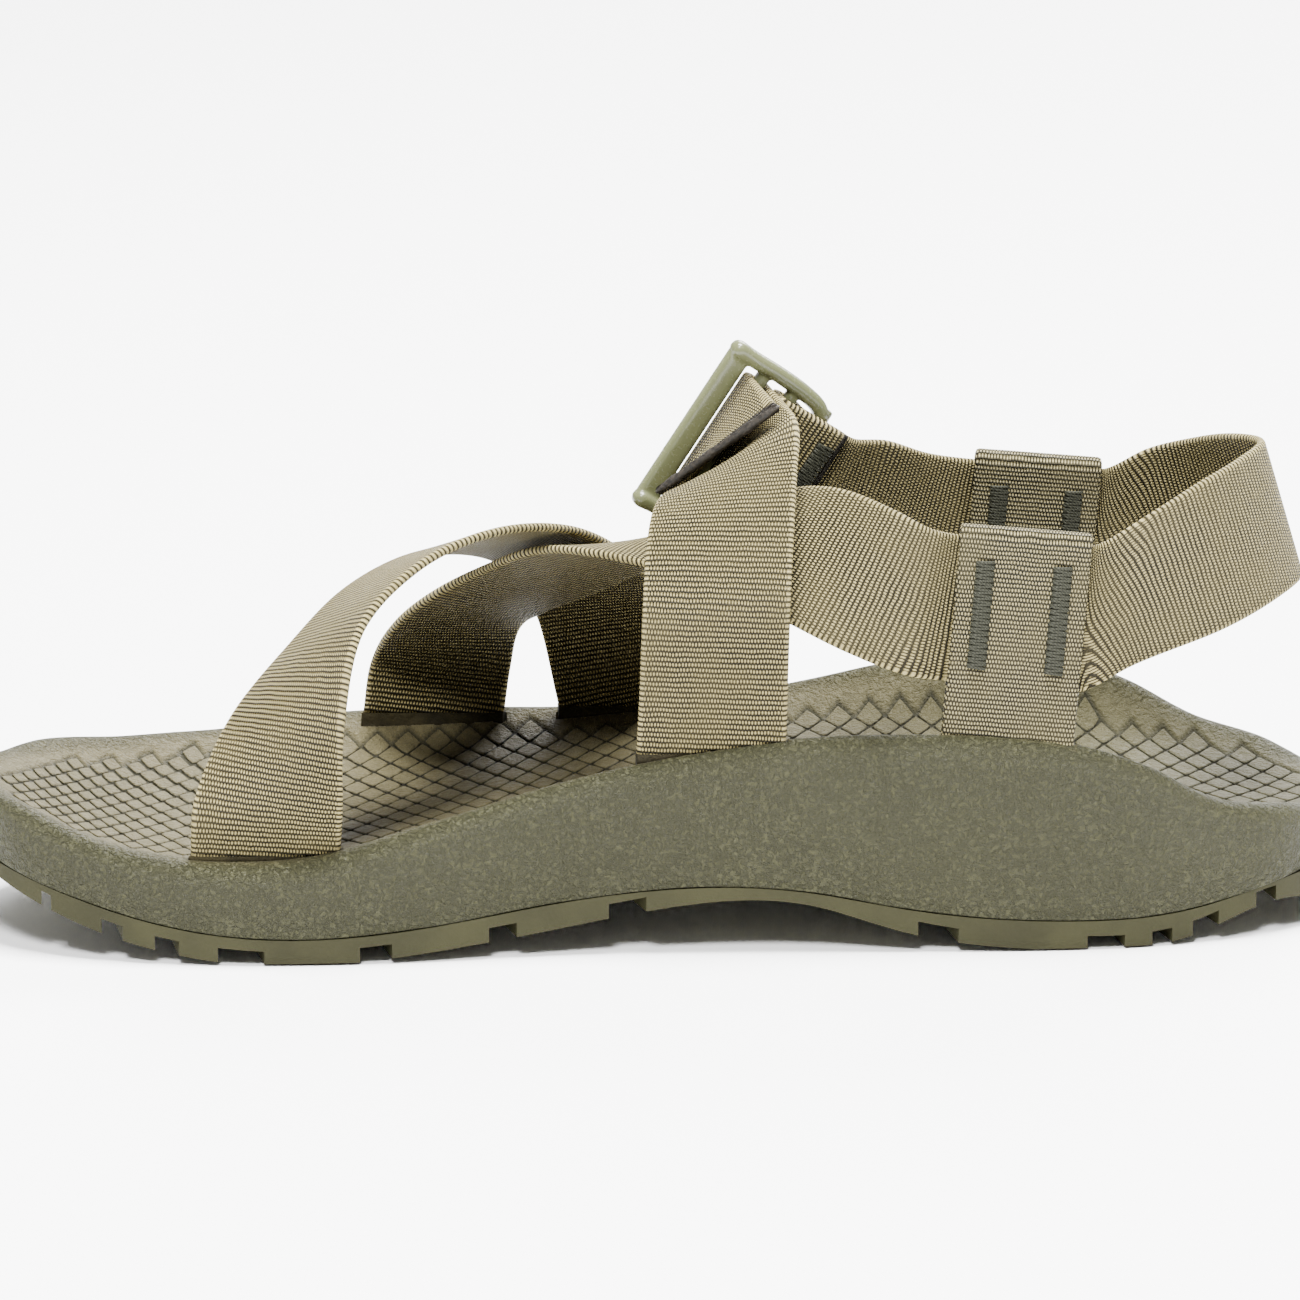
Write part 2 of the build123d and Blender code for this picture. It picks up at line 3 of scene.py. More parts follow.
import bmesh
import bpy
import numpy as np
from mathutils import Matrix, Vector


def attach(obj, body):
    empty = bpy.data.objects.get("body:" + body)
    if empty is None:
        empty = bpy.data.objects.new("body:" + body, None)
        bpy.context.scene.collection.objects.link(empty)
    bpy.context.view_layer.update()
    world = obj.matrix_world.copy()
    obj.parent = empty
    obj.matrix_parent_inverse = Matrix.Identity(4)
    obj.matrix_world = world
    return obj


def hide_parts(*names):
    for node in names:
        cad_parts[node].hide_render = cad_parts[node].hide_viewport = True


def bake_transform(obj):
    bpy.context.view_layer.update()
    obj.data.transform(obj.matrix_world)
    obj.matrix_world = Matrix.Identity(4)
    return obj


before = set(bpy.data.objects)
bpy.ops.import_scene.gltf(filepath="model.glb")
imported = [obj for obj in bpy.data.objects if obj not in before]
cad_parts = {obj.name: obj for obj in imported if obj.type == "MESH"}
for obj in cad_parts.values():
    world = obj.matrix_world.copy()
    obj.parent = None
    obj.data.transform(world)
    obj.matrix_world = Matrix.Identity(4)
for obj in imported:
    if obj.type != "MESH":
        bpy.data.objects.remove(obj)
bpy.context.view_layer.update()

bl_info = {
    "name": "Sport sandal",
    "version": (1, 0, 0),
    "blender": (4, 5, 0),
    "location": "View3D > Sidebar > Sandal",
    "description": "Builds a webbing sport sandal round its fixed frame",
    "category": "Add Mesh",
}

MM = 0.001
LAST_SHIFT = Vector((-2.986, -1.467, 0.0))  # from the shoemaker's last to the frame, in millimetres


# ---- sizes and colours that can be changed ---------------------------------------------------------
def size_of(name, description, default):
    return bpy.props.FloatProperty(name=name, description=description, default=default, unit="LENGTH")


def colour_of(name, description, default):
    return bpy.props.FloatVectorProperty(
        name=name, description=description, default=default, size=3, subtype="COLOR"
    )


class SandalSizes(bpy.types.PropertyGroup):
    web_width: size_of("Webbing width", "Width of the strap", 0.030)
    web_thickness: size_of("Webbing thickness", "Thickness of the strap", 0.00175)
    weave_row: size_of("Weave row", "Spacing of the weave's rows along the strap", 0.00107)
    weave_grain: size_of("Weave grain", "Spacing of the yarns across the strap", 0.00064)
    riser_row: size_of("Riser weave row", "Spacing of the rows in the heel risers", 0.00092)
    diamond_length: size_of("Diamond length", "Length of a footbed diamond along the foot", 0.0065)
    diamond_width: size_of("Diamond width", "Width of a footbed diamond across the foot", 0.009)
    groove_width: size_of("Groove width", "Width of the grooves between diamonds", 0.0008)
    groove_depth: size_of("Groove depth", "Depth of the grooves between diamonds", 0.0006)
    rim_radius: size_of("Rim rounding", "Rounding of the footbed's rim", 0.0052)
    stitch_count: bpy.props.IntProperty(
        name="Stitches", description="Zigzag stitches in each bartack", default=36
    )


class SandalColours(bpy.types.PropertyGroup):
    footbed: colour_of("Footbed", "Top of the footbed", (0.08, 0.0685, 0.033))
    flank: colour_of("Flank", "Sides of the midsole", (0.034, 0.0335, 0.0145))
    rubber: colour_of("Rubber", "Outsole rubber", (0.0235, 0.0225, 0.0092))
    webbing: colour_of("Webbing", "Strap webbing", (0.19, 0.158, 0.07))
    riser: colour_of("Riser webbing", "Heel riser webbing", (0.2, 0.173, 0.088))
    thread: colour_of("Thread", "Bartack thread", (0.02, 0.0205, 0.0135))
    buckle: colour_of("Buckle", "Buckle plastic", (0.09, 0.096, 0.046))
    seal: colour_of("Sealed edge", "Melted edge of a cut end", (0.013, 0.0105, 0.0075))


def sizes():
    return bpy.context.scene.sandal_sizes


def colours():
    return bpy.context.scene.sandal_colours


# ---- shader expressions ----------------------------------------------------------------------------
class Value:
    """A number socket that adds its Math nodes as it is used in a sum."""

    def __init__(self, graph, socket):
        self.graph, self.socket = graph, socket

    def __add__(self, other):
        return self.graph.math("ADD", self, other)

    def __sub__(self, other):
        return self.graph.math("SUBTRACT", self, other)

    def __rsub__(self, other):
        return self.graph.math("SUBTRACT", other, self)

    def __mul__(self, other):
        return self.graph.math("MULTIPLY", self, other)

    def __truediv__(self, other):
        return self.graph.math("DIVIDE", self, other)

    def __pow__(self, other):
        return self.graph.math("POWER", self, other)

    __radd__ = __add__
    __rmul__ = __mul__


class Graph:
    """A material's node tree, written as expressions."""

    def __init__(self, name):
        self.material = bpy.data.materials.new(name)
        self.material.use_nodes = True
        self.tree = self.material.node_tree
        self.tree.nodes.clear()

    def node(self, kind, settings=None, **inputs):
        """A node of a type, its settings made first, then its inputs, by name or as i0, i1 and so on."""
        made = self.tree.nodes.new(kind)
        for key, value in (settings or {}).items():
            setattr(made, key, value)
        for key, value in inputs.items():
            index = int(key[1:]) if key[0] == "i" and key[1:].isdigit() else key.replace("_", " ")
            self.feed(made.inputs[index], value)
        return made

    def feed(self, target, value):
        if isinstance(value, Value):
            value = value.socket
        if isinstance(value, bpy.types.NodeSocket):
            self.tree.links.new(value, target)
        elif target.type == "RGBA":
            target.default_value = (*value[:3], 1.0)
        else:
            target.default_value = value

    def value(self, kind, settings=None, output=0, **inputs):
        return Value(self, self.node(kind, settings, **inputs).outputs[output])

    def math(self, operation, *terms):
        settings = {"operation": operation}
        return self.value("ShaderNodeMath", settings, **{f"i{i}": t for i, t in enumerate(terms)})

    def attribute(self, name):
        """The three parts of a mesh attribute."""
        vector = self.node("ShaderNodeAttribute", {"attribute_name": name}).outputs["Vector"]
        parts = self.node("ShaderNodeSeparateXYZ", None, i0=vector)
        return [Value(self, part) for part in parts.outputs]

    def position(self):
        return self.node("ShaderNodeTexCoord").outputs["Object"]

    def noise(self, scale, detail=3.0, roughness=0.55):
        inputs = {"Vector": self.position(), "Scale": scale, "Detail": detail, "Roughness": roughness}
        return self.value("ShaderNodeTexNoise", None, **inputs)

    def edges(self, scale):
        settings = {"feature": "DISTANCE_TO_EDGE"}
        return self.value("ShaderNodeTexVoronoi", settings, Vector=self.position(), Scale=scale)

    def smooth(self, value, low, high, start=0.0, end=1.0):
        settings = {"interpolation_type": "SMOOTHSTEP"}
        return self.value("ShaderNodeMapRange", settings, i0=value, i1=low, i2=high, i3=start, i4=end)

    def mix(self, factor, first, second):
        return self.node("ShaderNodeMix", {"data_type": "RGBA"}, i0=factor, i6=first, i7=second).outputs[2]

    def bump(self, height, distance, strength=1.0):
        made = self.node("ShaderNodeBump", None, Height=height, Distance=distance, Strength=strength)
        return made.outputs[0]

    def surface(self, **inputs):
        shader = self.node("ShaderNodeBsdfPrincipled", None, **inputs)
        self.node("ShaderNodeOutputMaterial", None, Surface=shader.outputs[0])
        return self.material


def scaled(colour, amount):
    return tuple(min(1.0, part * amount) for part in colour)


def woven(name, colour, row, grain, coarse):
    """Woven webbing: short floats of yarn in offset rows, a selvage at each edge and a little wear; the
    floats' tops carry painted highlights and the gaps between them painted shade.
    """
    g = Graph(name)
    along, across, cut = g.attribute("weave")
    wander = g.noise(260.0, 2.0)
    rows = along / row + (wander - 0.5) * 0.5
    shift = g.math("FLOOR", rows) * 0.5
    yarns = across / grain + shift + (wander - 0.5) * 0.6
    float_long = g.math("SINE", g.math("FRACT", rows) * math.pi)
    float_wide = g.math("SINE", g.math("FRACT", yarns) * math.pi)
    height = (float_long ** 0.9) * (float_wide ** 0.7)
    selvage = g.smooth(g.math("ABSOLUTE", across), 0.0136, 0.0145)
    height = height * (1 - selvage) + float_long * selvage
    fuzz = g.noise(5200.0, 2.0)
    patches = g.noise(70.0, 4.0)
    # Painted light and shade: the yarn floats are painted lighter on their tops and dark in the gaps between
    # them, following the weave's relief.
    lit = g.smooth(height, 0.3, 0.92)
    tint = g.mix(lit, scaled(colour, 0.06), scaled(colour, 1.8))
    tint = g.mix(g.smooth(patches, 0.35, 0.7, 0.0, 0.25), tint, scaled(colour, 0.62))
    tint = g.mix(g.smooth(fuzz, 0.45, 0.75, 0.0, 0.3), tint, scaled(colour, 0.35))
    tint = g.mix(cut, tint, colours().seal)
    rough = 0.5 + 0.3 * patches
    normal = g.bump(height + 0.3 * fuzz, 0.0007 * coarse, 1.0)
    return g.surface(Base_Color=tint, Roughness=rough, Normal=normal, Specular_IOR_Level=0.12)


def footbed_material():
    """Cast foam: pale worn tread above, leathery olive grain on the flanks, painted shade in the grooves
    between the diamonds, and painted light and shade on the flanks' creases.
    """
    g = Graph("midsole_foam")
    flank, groove_shade_and_seam, _ = g.attribute("zone")
    warp = g.noise(420.0, 3.0)
    pebble = g.edges(1150.0)
    fine = g.edges(2300.0)
    wrinkles = g.noise(300.0, 5.0)
    specks = g.noise(900.0, 4.0, roughness=0.7)
    patches = g.noise(24.0, 4.0)
    grain = g.smooth(pebble, 0.0, 0.25) * 0.6 + g.smooth(fine, 0.0, 0.2) * 0.4
    top = g.mix(g.smooth(wrinkles, 0.35, 0.7, 0.0, 0.45), colours().footbed, scaled(colours().footbed, 0.68))
    top = g.mix(g.smooth(specks, 0.52, 0.7, 0.0, 0.45), top, scaled(colours().footbed, 0.4))
    # Painted light and shade: the flanks are painted lighter on the creases' ridges and darker in their
    # hollows, following the bump.
    creases = g.smooth(g.noise(820.0, 4.0, roughness=0.62), 0.4, 0.62)
    side = g.mix(creases, scaled(colours().flank, 0.9), scaled(colours().flank, 1.05))
    side = g.mix(g.smooth(patches, 0.4, 0.75, 0.0, 0.4), side, scaled(colours().flank, 1.22))
    scuff = g.smooth(g.noise(40.0, 5.0), 0.5, 0.66) * g.smooth(specks, 0.54, 0.68)
    side = g.mix(scuff * 0.5, side, scaled(colours().flank, 0.55))
    along_foot = Value(g, g.node("ShaderNodeSeparateXYZ", None, i0=g.position()).outputs[0])
    heelward = g.smooth(along_foot, -0.02, 0.09, 0.0, 0.55)
    top = g.mix(heelward, top, scaled(colours().flank, 1.05))
    tint = g.mix(flank, top, side)
    # Painted shade darkens the grooves between the diamonds and the diamonds' low sides; the same mask
    # darkens the seam strip at the parting line.
    tint = g.mix(groove_shade_and_seam * 0.9, tint, scaled(colours().flank, 0.28))
    rough = 0.46 + 0.2 * wrinkles - 0.1 * flank * grain
    height = grain * 0.4 + creases * (0.6 + 1.6 * flank) + 0.5 * warp + 0.4 * specks
    normal = g.bump(height, 0.00042, 1.0)
    return g.surface(Base_Color=tint, Roughness=rough, Normal=normal, Specular_IOR_Level=0.16)


def rubber_material():
    g = Graph("outsole_rubber")
    mottle = g.noise(60.0, 5.0)
    fine = g.noise(1500.0, 3.0)
    tint = g.mix(g.smooth(mottle, 0.3, 0.7), scaled(colours().rubber, 0.8), scaled(colours().rubber, 1.12))
    rough = 0.55 + 0.2 * fine
    normal = g.bump(fine + 0.6 * mottle, 0.00012, 0.7)
    return g.surface(Base_Color=tint, Roughness=rough, Normal=normal, Specular_IOR_Level=0.12)


def thread_material():
    g = Graph("bartack_thread")
    settings = {"bands_direction": "DIAGONAL"}
    twist = g.value("ShaderNodeTexWave", settings, Vector=g.position(), Scale=900.0, Distortion=1.5)
    # Painted light and shade: the thread is painted lighter on the twist's ridges and darker between them,
    # following the bump.
    tint = g.mix(twist, scaled(colours().thread, 0.6), scaled(colours().thread, 1.5))
    rough = 0.5 + 0.2 * twist
    normal = g.bump(twist, 0.00008, 0.7)
    return g.surface(Base_Color=tint, Roughness=rough, Normal=normal, Specular_IOR_Level=0.15)


def sealed_material():
    """Webbing melted hard and dark along a cut end."""
    g = Graph("sealed_edge")
    lumps = g.noise(1100.0, 3.0)
    # Painted light and shade: the melted lumps are painted lighter on their tops and darker between them,
    # following the bump.
    tint = g.mix(g.smooth(lumps, 0.4, 0.62), scaled(colours().seal, 0.6), scaled(colours().seal, 1.7))
    rough = 0.4 + 0.3 * lumps
    normal = g.bump(lumps, 0.0003, 0.9)
    return g.surface(Base_Color=tint, Roughness=rough, Normal=normal, Specular_IOR_Level=0.3)


def buckle_material():
    """Glossy moulded nylon with faint flow marks."""
    g = Graph("buckle_plastic")
    flow = g.noise(70.0, 3.0)
    pits = g.noise(1400.0, 2.0)
    tint = g.mix(g.smooth(flow, 0.3, 0.7), scaled(colours().buckle, 0.97), scaled(colours().buckle, 1.03))
    rough = 0.24 + 0.05 * g.smooth(pits, 0.45, 0.7)
    normal = g.bump(pits, 0.00001, 0.4)
    return g.surface(Base_Color=tint, Roughness=rough, Normal=normal, Specular_IOR_Level=0.4)


FINISHES = {}


def finish(name):
    """A finish, made once."""
    if name not in FINISHES:
        s, c = sizes(), colours()
        makers = {
            "webbing": lambda: woven("webbing", c.webbing, s.weave_row, s.weave_grain, 1.0),
            "riser_webbing": lambda: woven("riser_webbing", c.riser, s.riser_row, s.weave_grain, 1.2),
            "midsole_foam": footbed_material,
            "outsole_rubber": rubber_material,
            "bartack_thread": thread_material,
            "sealed_edge": sealed_material,
            "buckle_plastic": buckle_material,
        }
        FINISHES[name] = makers[name]()
    return FINISHES[name]


# ---- meshes ----------------------------------------------------------------------------------------
def on_last(x, y, z):
    """A place on the last, in millimetres, as a point of the frame."""
    return (Vector((x, y, z)) + LAST_SHIFT) * MM


def piece(name, vertices, faces, slot, attributes=None, smooth=True):
    """A mesh piece with its finish; attributes are one vector for each vertex."""
    mesh = bpy.data.meshes.new(name)
    mesh.from_pydata([tuple(v) for v in vertices], [], faces)
    for key, values in (attributes or {}).items():
        data = mesh.attributes.new(key, "FLOAT_VECTOR", "POINT")
        data.data.foreach_set("vector", np.asarray(values, np.float32).ravel())
    mesh.validate()
    mesh.update()
    made = bpy.data.objects.new(name, mesh)
    bpy.context.collection.objects.link(made)
    mesh.materials.append(finish(slot))
    if smooth:
        mesh.shade_smooth()
    return made


def through(points, count):
    """Points along a smooth curve through the given ones."""
    known = np.array([tuple(p) for p in points], float)
    steps = np.maximum(np.linalg.norm(np.diff(known, axis=0), axis=1), 1e-9)
    knots = np.concatenate([[0], np.cumsum(np.sqrt(steps))])
    slopes = np.empty_like(known)
    for i in range(1, len(known) - 1):
        before = (known[i] - known[i - 1]) / (knots[i] - knots[i - 1])
        after = (known[i + 1] - known[i]) / (knots[i + 1] - knots[i])
        share = (knots[i] - knots[i - 1]) / (knots[i + 1] - knots[i - 1])
        slopes[i] = before * (1 - share) + after * share
    slopes[0] = (known[1] - known[0]) / (knots[1] - knots[0])
    slopes[-1] = (known[-1] - known[-2]) / (knots[-1] - knots[-2])
    at = np.linspace(0, knots[-1], count)
    i = np.clip(np.searchsorted(knots, at, side="right") - 1, 0, len(known) - 2)
    h = (knots[i + 1] - knots[i])[:, None]
    t = ((at - knots[i]) / h[:, 0])[:, None]
    return (
        (2 * t**3 - 3 * t**2 + 1) * known[i]
        + (t**3 - 2 * t**2 + t) * h * slopes[i]
        + (3 * t**2 - 2 * t**3) * known[i + 1]
        + (t**3 - t**2) * h * slopes[i + 1]
    )


def rounded_route(corners, radius, step):
    """Points along straight runs with rounded corners, all in one plane's two coordinates."""
    points = [Vector(corners[0])]
    for before, corner, after in zip(corners, corners[1:], corners[2:]):
        corner = Vector(corner)
        arrive = (corner - Vector(before)).normalized()
        leave = (Vector(after) - corner).normalized()
        turn = math.acos(max(-1, min(1, arrive.dot(leave))))
        cut = radius * math.tan(turn / 2)
        start, end = corner - arrive * cut, corner + leave * cut
        for k in range(7):
            t = k / 6
            points.append(start * (1 - t) ** 2 + corner * 2 * t * (1 - t) + end * t**2)
    points.append(Vector(corners[-1]))
    dense = [points[0]]
    for a, b in zip(points, points[1:]):
        parts = max(1, round((b - a).length / step))
        dense += [a.lerp(b, (k + 1) / parts) for k in range(parts)]
    return dense


def skin(rings, around, start=0):
    """Faces of a closed tube whose vertices lie in rings, one after another, with both ends capped."""
    faces = []
    for n in range(rings - 1):
        for m in range(around):
            a, b = start + n * around + m, start + n * around + (m + 1) % around
            faces.append((a, b, b + around, a + around))
    last_ring = start + (rings - 1) * around
    faces.append(tuple(range(start, start + around))[::-1])
    faces.append(tuple(range(last_ring, last_ring + around)))
    return faces


def ribbon(name, low, high, slot, sealed_end=False, across_count=14):
    """A strap between two edge curves: rounded selvages, even thickness, and its weave's own coordinates."""
    low, high = np.array(low, float), np.array(high, float)
    middle, across = (low + high) / 2, high - low
    width = np.linalg.norm(across, axis=1)[:, None]
    along = np.gradient(middle, axis=0)
    along /= np.linalg.norm(along, axis=1)[:, None]
    normal = np.cross(along, across / width)
    normal /= np.linalg.norm(normal, axis=1)[:, None]
    run = np.concatenate([[0], np.cumsum(np.linalg.norm(np.diff(middle, axis=0), axis=1))])
    half = sizes().web_thickness / 2
    profile = []
    inset = half * 0.9
    spread = np.linspace(-1, 1, across_count)
    for t in spread:
        profile.append((t, 1.0, 0.0))
    for k in range(1, 4):
        angle = math.pi * k / 4
        profile.append((1.0, math.cos(angle), math.sin(angle)))
    for t in spread[::-1]:
        profile.append((t, -1.0, 0.0))
    for k in range(1, 4):
        angle = math.pi * k / 4
        profile.append((-1.0, -math.cos(angle), -math.sin(angle)))
    vertices, weave = [], []
    for i in range(len(low)):
        unit = across[i] / width[i]
        reach = width[i][0] / 2 - inset
        for t, up, out in profile:
            place = middle[i] + unit * (t * reach + out * inset) + normal[i] * (up * half)
            vertices.append(place)
            flat = place - middle[i]
            cut = sealed_end and i > len(low) - 3
            weave.append((run[i] + float(flat @ along[i]), float(flat @ unit), 1.0 if cut else 0.0))
    return piece(name, vertices, skin(len(low), len(profile)), slot, {"weave": weave})


# ---- the last and its webbing places ----------------------------------------------------------------
# x, then medial and lateral: edge, parting line and rim, with the middle of the footbed
SOLE_SECTIONS = [
    (-150, -33.0, 1.0, 25.0, 25.0, 39.5, 37.0, 39.5),
    (-130, -38.0, 11.0, 17.0, 17.0, 31.7, 29.0, 31.8),
    (-110, -46.5, 31.0, 10.6, 10.6, 23.7, 21.8, 27.0),
    (-90, -49.7, 44.5, 6.2, 6.2, 20.6, 18.3, 24.5),
    (-70, -50.0, 51.5, 4.8, 4.8, 21.4, 17.5, 26.0),
    (-44, -47.5, 53.0, 7.2, 4.8, 29.0, 18.6, 27.0),
    (-18, -43.5, 51.5, 12.0, 5.8, 37.0, 21.5, 27.5),
    (10, -42.0, 48.0, 15.2, 7.0, 43.6, 25.0, 29.8),
    (33, -41.5, 44.5, 13.6, 6.8, 47.0, 26.8, 36.0),
    (50, -41.0, 42.5, 9.6, 6.2, 47.6, 26.8, 41.0),
    (70, -40.5, 41.5, 6.5, 5.7, 47.0, 26.0, 43.5),
    (86, -39.5, 41.0, 5.6, 5.6, 45.0, 25.0, 43.0),
    (100, -37.5, 39.0, 5.8, 5.8, 39.5, 24.2, 38.5),
    (114, -33.5, 35.5, 7.6, 7.6, 30.5, 23.2, 31.0),
    (131, -25.0, 27.5, 11.3, 11.3, 26.8, 22.6, 27.0),
    (153, -14.0, 16.0, 16.5, 16.5, 27.0, 24.0, 27.0),
]
TOE_TIP, HEEL_TIP = (-141, -16), (147, 1)
TOE_STRAP = [
    ((-92, -44, 21), (-62, -44, 21)),
    ((-90.5, -43.5, 32), (-62, -46.5, 31)),
    ((-83, -32, 46), (-62, -48, 50)),
    ((-73, -19.5, 57), (-57.5, -41, 67)),
    ((-63, -8, 65.5), (-46, -29.5, 77)),
    ((-51, 5, 69.5), (-31, -15, 80.5)),
    ((-38.5, 18.5, 68), (-15.5, 4, 76)),
    ((-29, 32, 61), (-4, 21, 65)),
    ((-23.5, 43.5, 47.5), (5, 38.5, 49)),
    ((-19.5, 44, 28), (10.5, 44, 28)),
]
CROSS_STRAP = [
    ((-61, 45, 26), (-31, 45, 26)),
    ((-59, 43.5, 37), (-30, 47.5, 35)),
    ((-52.5, 32, 49), (-28.5, 45, 45)),
    ((-44, 22, 58), (-22.5, 37, 51)),
    ((-33.5, 12, 66), (-11, 26.5, 58)),
    ((-22.5, 1, 72.5), (0.5, 14, 67)),
    ((-10, -11, 75), (13, 3.5, 77.5)),
    ((5.5, -22, 74), (25.5, -7, 86)),
    ((22.5, -32.5, 69.5), (37.5, -20, 90)),
    ((39, -38.5, 62.5), (49, -31, 88)),
    ((51, -38.5, 57), (55.5, -34.5, 86)),
]
INSTEP_STRAP = [
    ((-3, -38, 40.5), (27.5, -38, 40.5)),
    ((-3, -38.7, 53), (28.5, -38.7, 57)),
    ((-2.5, -38.5, 68), (29, -39, 73)),
    ((-1.5, -31.5, 80.5), (29.5, -32.5, 85.5)),
    ((0.5, -22, 86.5), (29.7, -22.5, 94.5)),
    ((4.5, -10, 87), (29.5, -11, 101)),
]
HEEL_STRAP = [
    ((97, -34, 58), (99, -29.5, 87)),
    ((115.5, -26, 63.3), (109.5, -22.5, 92)),
    ((127.3, -13.7, 66), (118.5, -12, 95.2)),
    ((133, 0, 67.3), (124.2, 0, 96.3)),
    ((127.5, 14, 65.5), (119, 12.5, 94.7)),
    ((117, 27, 62), (112, 23.5, 90.5)),
    ((103, 35, 57.5), (103.5, 31, 86.5)),
]
LATERAL_STRAP = [
    ((55.5, 31.5, 56.5), (58, 29, 86.5)),
    ((42.5, 22.5, 61.5), (49, 21.5, 91)),
]
SLOTS = [  # the middle of each slot, which runs along the foot
    (-77, -44),
    (-46, 45),
    (12.25, -38),
    (-4.5, 44),
]
RISERS = {  # the middle of the foot, the way up, and the height of the middle of the strap held
    "medial": ((72, -34.6, 46), (3, 2.4, 37), 22.4),
    "lateral": ((78, 35.6, 43), (3, -2, 39), 25.2),
}
RISER_WIDTH, RISER_THICKNESS, RISER_HALF_CAVITY = 26.5, 1.7, 0.875 + 0.35
BUCKLE_FRONT = Vector((6.8, 9, 98.2))
BUCKLE_LONG = Vector((0.803, 0.247, -0.543)).normalized()
BUCKLE_INWARD = BUCKLE_LONG.cross(Vector((0.546, 0.062, 0.835))).normalized()
BUCKLE_WIDE = BUCKLE_INWARD.cross(BUCKLE_LONG)
FRONT_BAR, BACK_BAR, BAR_DEPTH = 8.0, 15.6, 3.0
PLY, PLY_INWARD, FOLD_END = 0.995, 2.695, 31.0
SECOND_PLY, STRAP_ENTRY, HALF_WEB = 4.545, 3.575, 15.0
SEAL_RADIUS = 0.00095  # of the melted edge, in metres
THREAD_WIDE, THREAD_DEEP = 0.36, 0.26  # half sizes of a bartack's thread
PAD_LEVELS = ((0.8, -0.1), (0.95, 0.5), (1.25, 0.9), (2.2, 1.0))  # how far a diamond draws in, and its height
BORDER_WIDTH = ([-140, -100, -60, 0, 60, 110, 145], [9, 10, 11, 13, 14, 11, 8])  # along the foot, and width
RAIL_LINE = (  # the middle of a rail in the buckle's axes, from its front tip
    (-0.4, 18.5, 0.3),
    (5, 18.2, 0.3),
    (12, 18.1, 0.3),
    (18.5, 17.6, 0.2),
    (23.5, 16.4, 0.1),
    (26.2, 13.8, 0),
)
RAIL_HALVES = (1.75, 2.25)
BUCKLE_BARS = (  # where each bar lies, and its half sizes: the front plate, two bars and the back
    (2.5, 2.5, 1.5),
    (9.5, 1.4, 1.55),
    (17.1, 1.4, 1.55),
    (25.2, 1.5, 1.6),
)
LIGHTS = (  # name, place and size in metres, and power in watts
    ("key", (-0.3, -1.2, 1.75), 0.45, 80.0),
    ("top", (0.1, -0.05, 1.9), 0.8, 240.0),
    ("rim", (0.6, 1.7, 1.3), 1.2, 90.0),
)


def in_buckle(x, y, z):
    """A place in the buckle's own axes, as a place on the last."""
    return BUCKLE_FRONT + BUCKLE_LONG * x + BUCKLE_WIDE * y + BUCKLE_INWARD * z


def riser_axes(side):
    foot, rise, height = RISERS[side]
    up = Vector(rise).normalized()
    back = Vector((1, 0, 0))
    back = (back - up * back.dot(up)).normalized()
    return Vector(foot), back, up, back.cross(up), height


def held(side, back_place):
    foot, back, up, _, height = riser_axes(side)
    middle = foot + back * back_place + up * height
    return (middle - up * HALF_WEB, middle + up * HALF_WEB)


def framed(pairs):
    """Edge pairs on the last, each set to the strap's width, as two lists of frame points."""
    low, high = [], []
    half = sizes().web_width / 2 / MM
    for a, b in pairs:
        a, b = Vector(a), Vector(b)
        middle, unit = (a + b) / 2, (b - a).normalized()
        low.append(on_last(*(middle - unit * half)))
        high.append(on_last(*(middle + unit * half)))
    return low, high


def smooth_pairs(pairs, step=0.0014):
    """Two smooth edge curves through edge pairs."""
    low, high = framed(pairs)
    length = sum(((a + b) / 2 - (c + d) / 2).length for a, b, c, d in zip(low, high, low[1:], high[1:]))
    count = max(8, int(length / step))
    return through(low, count), through(high, count)


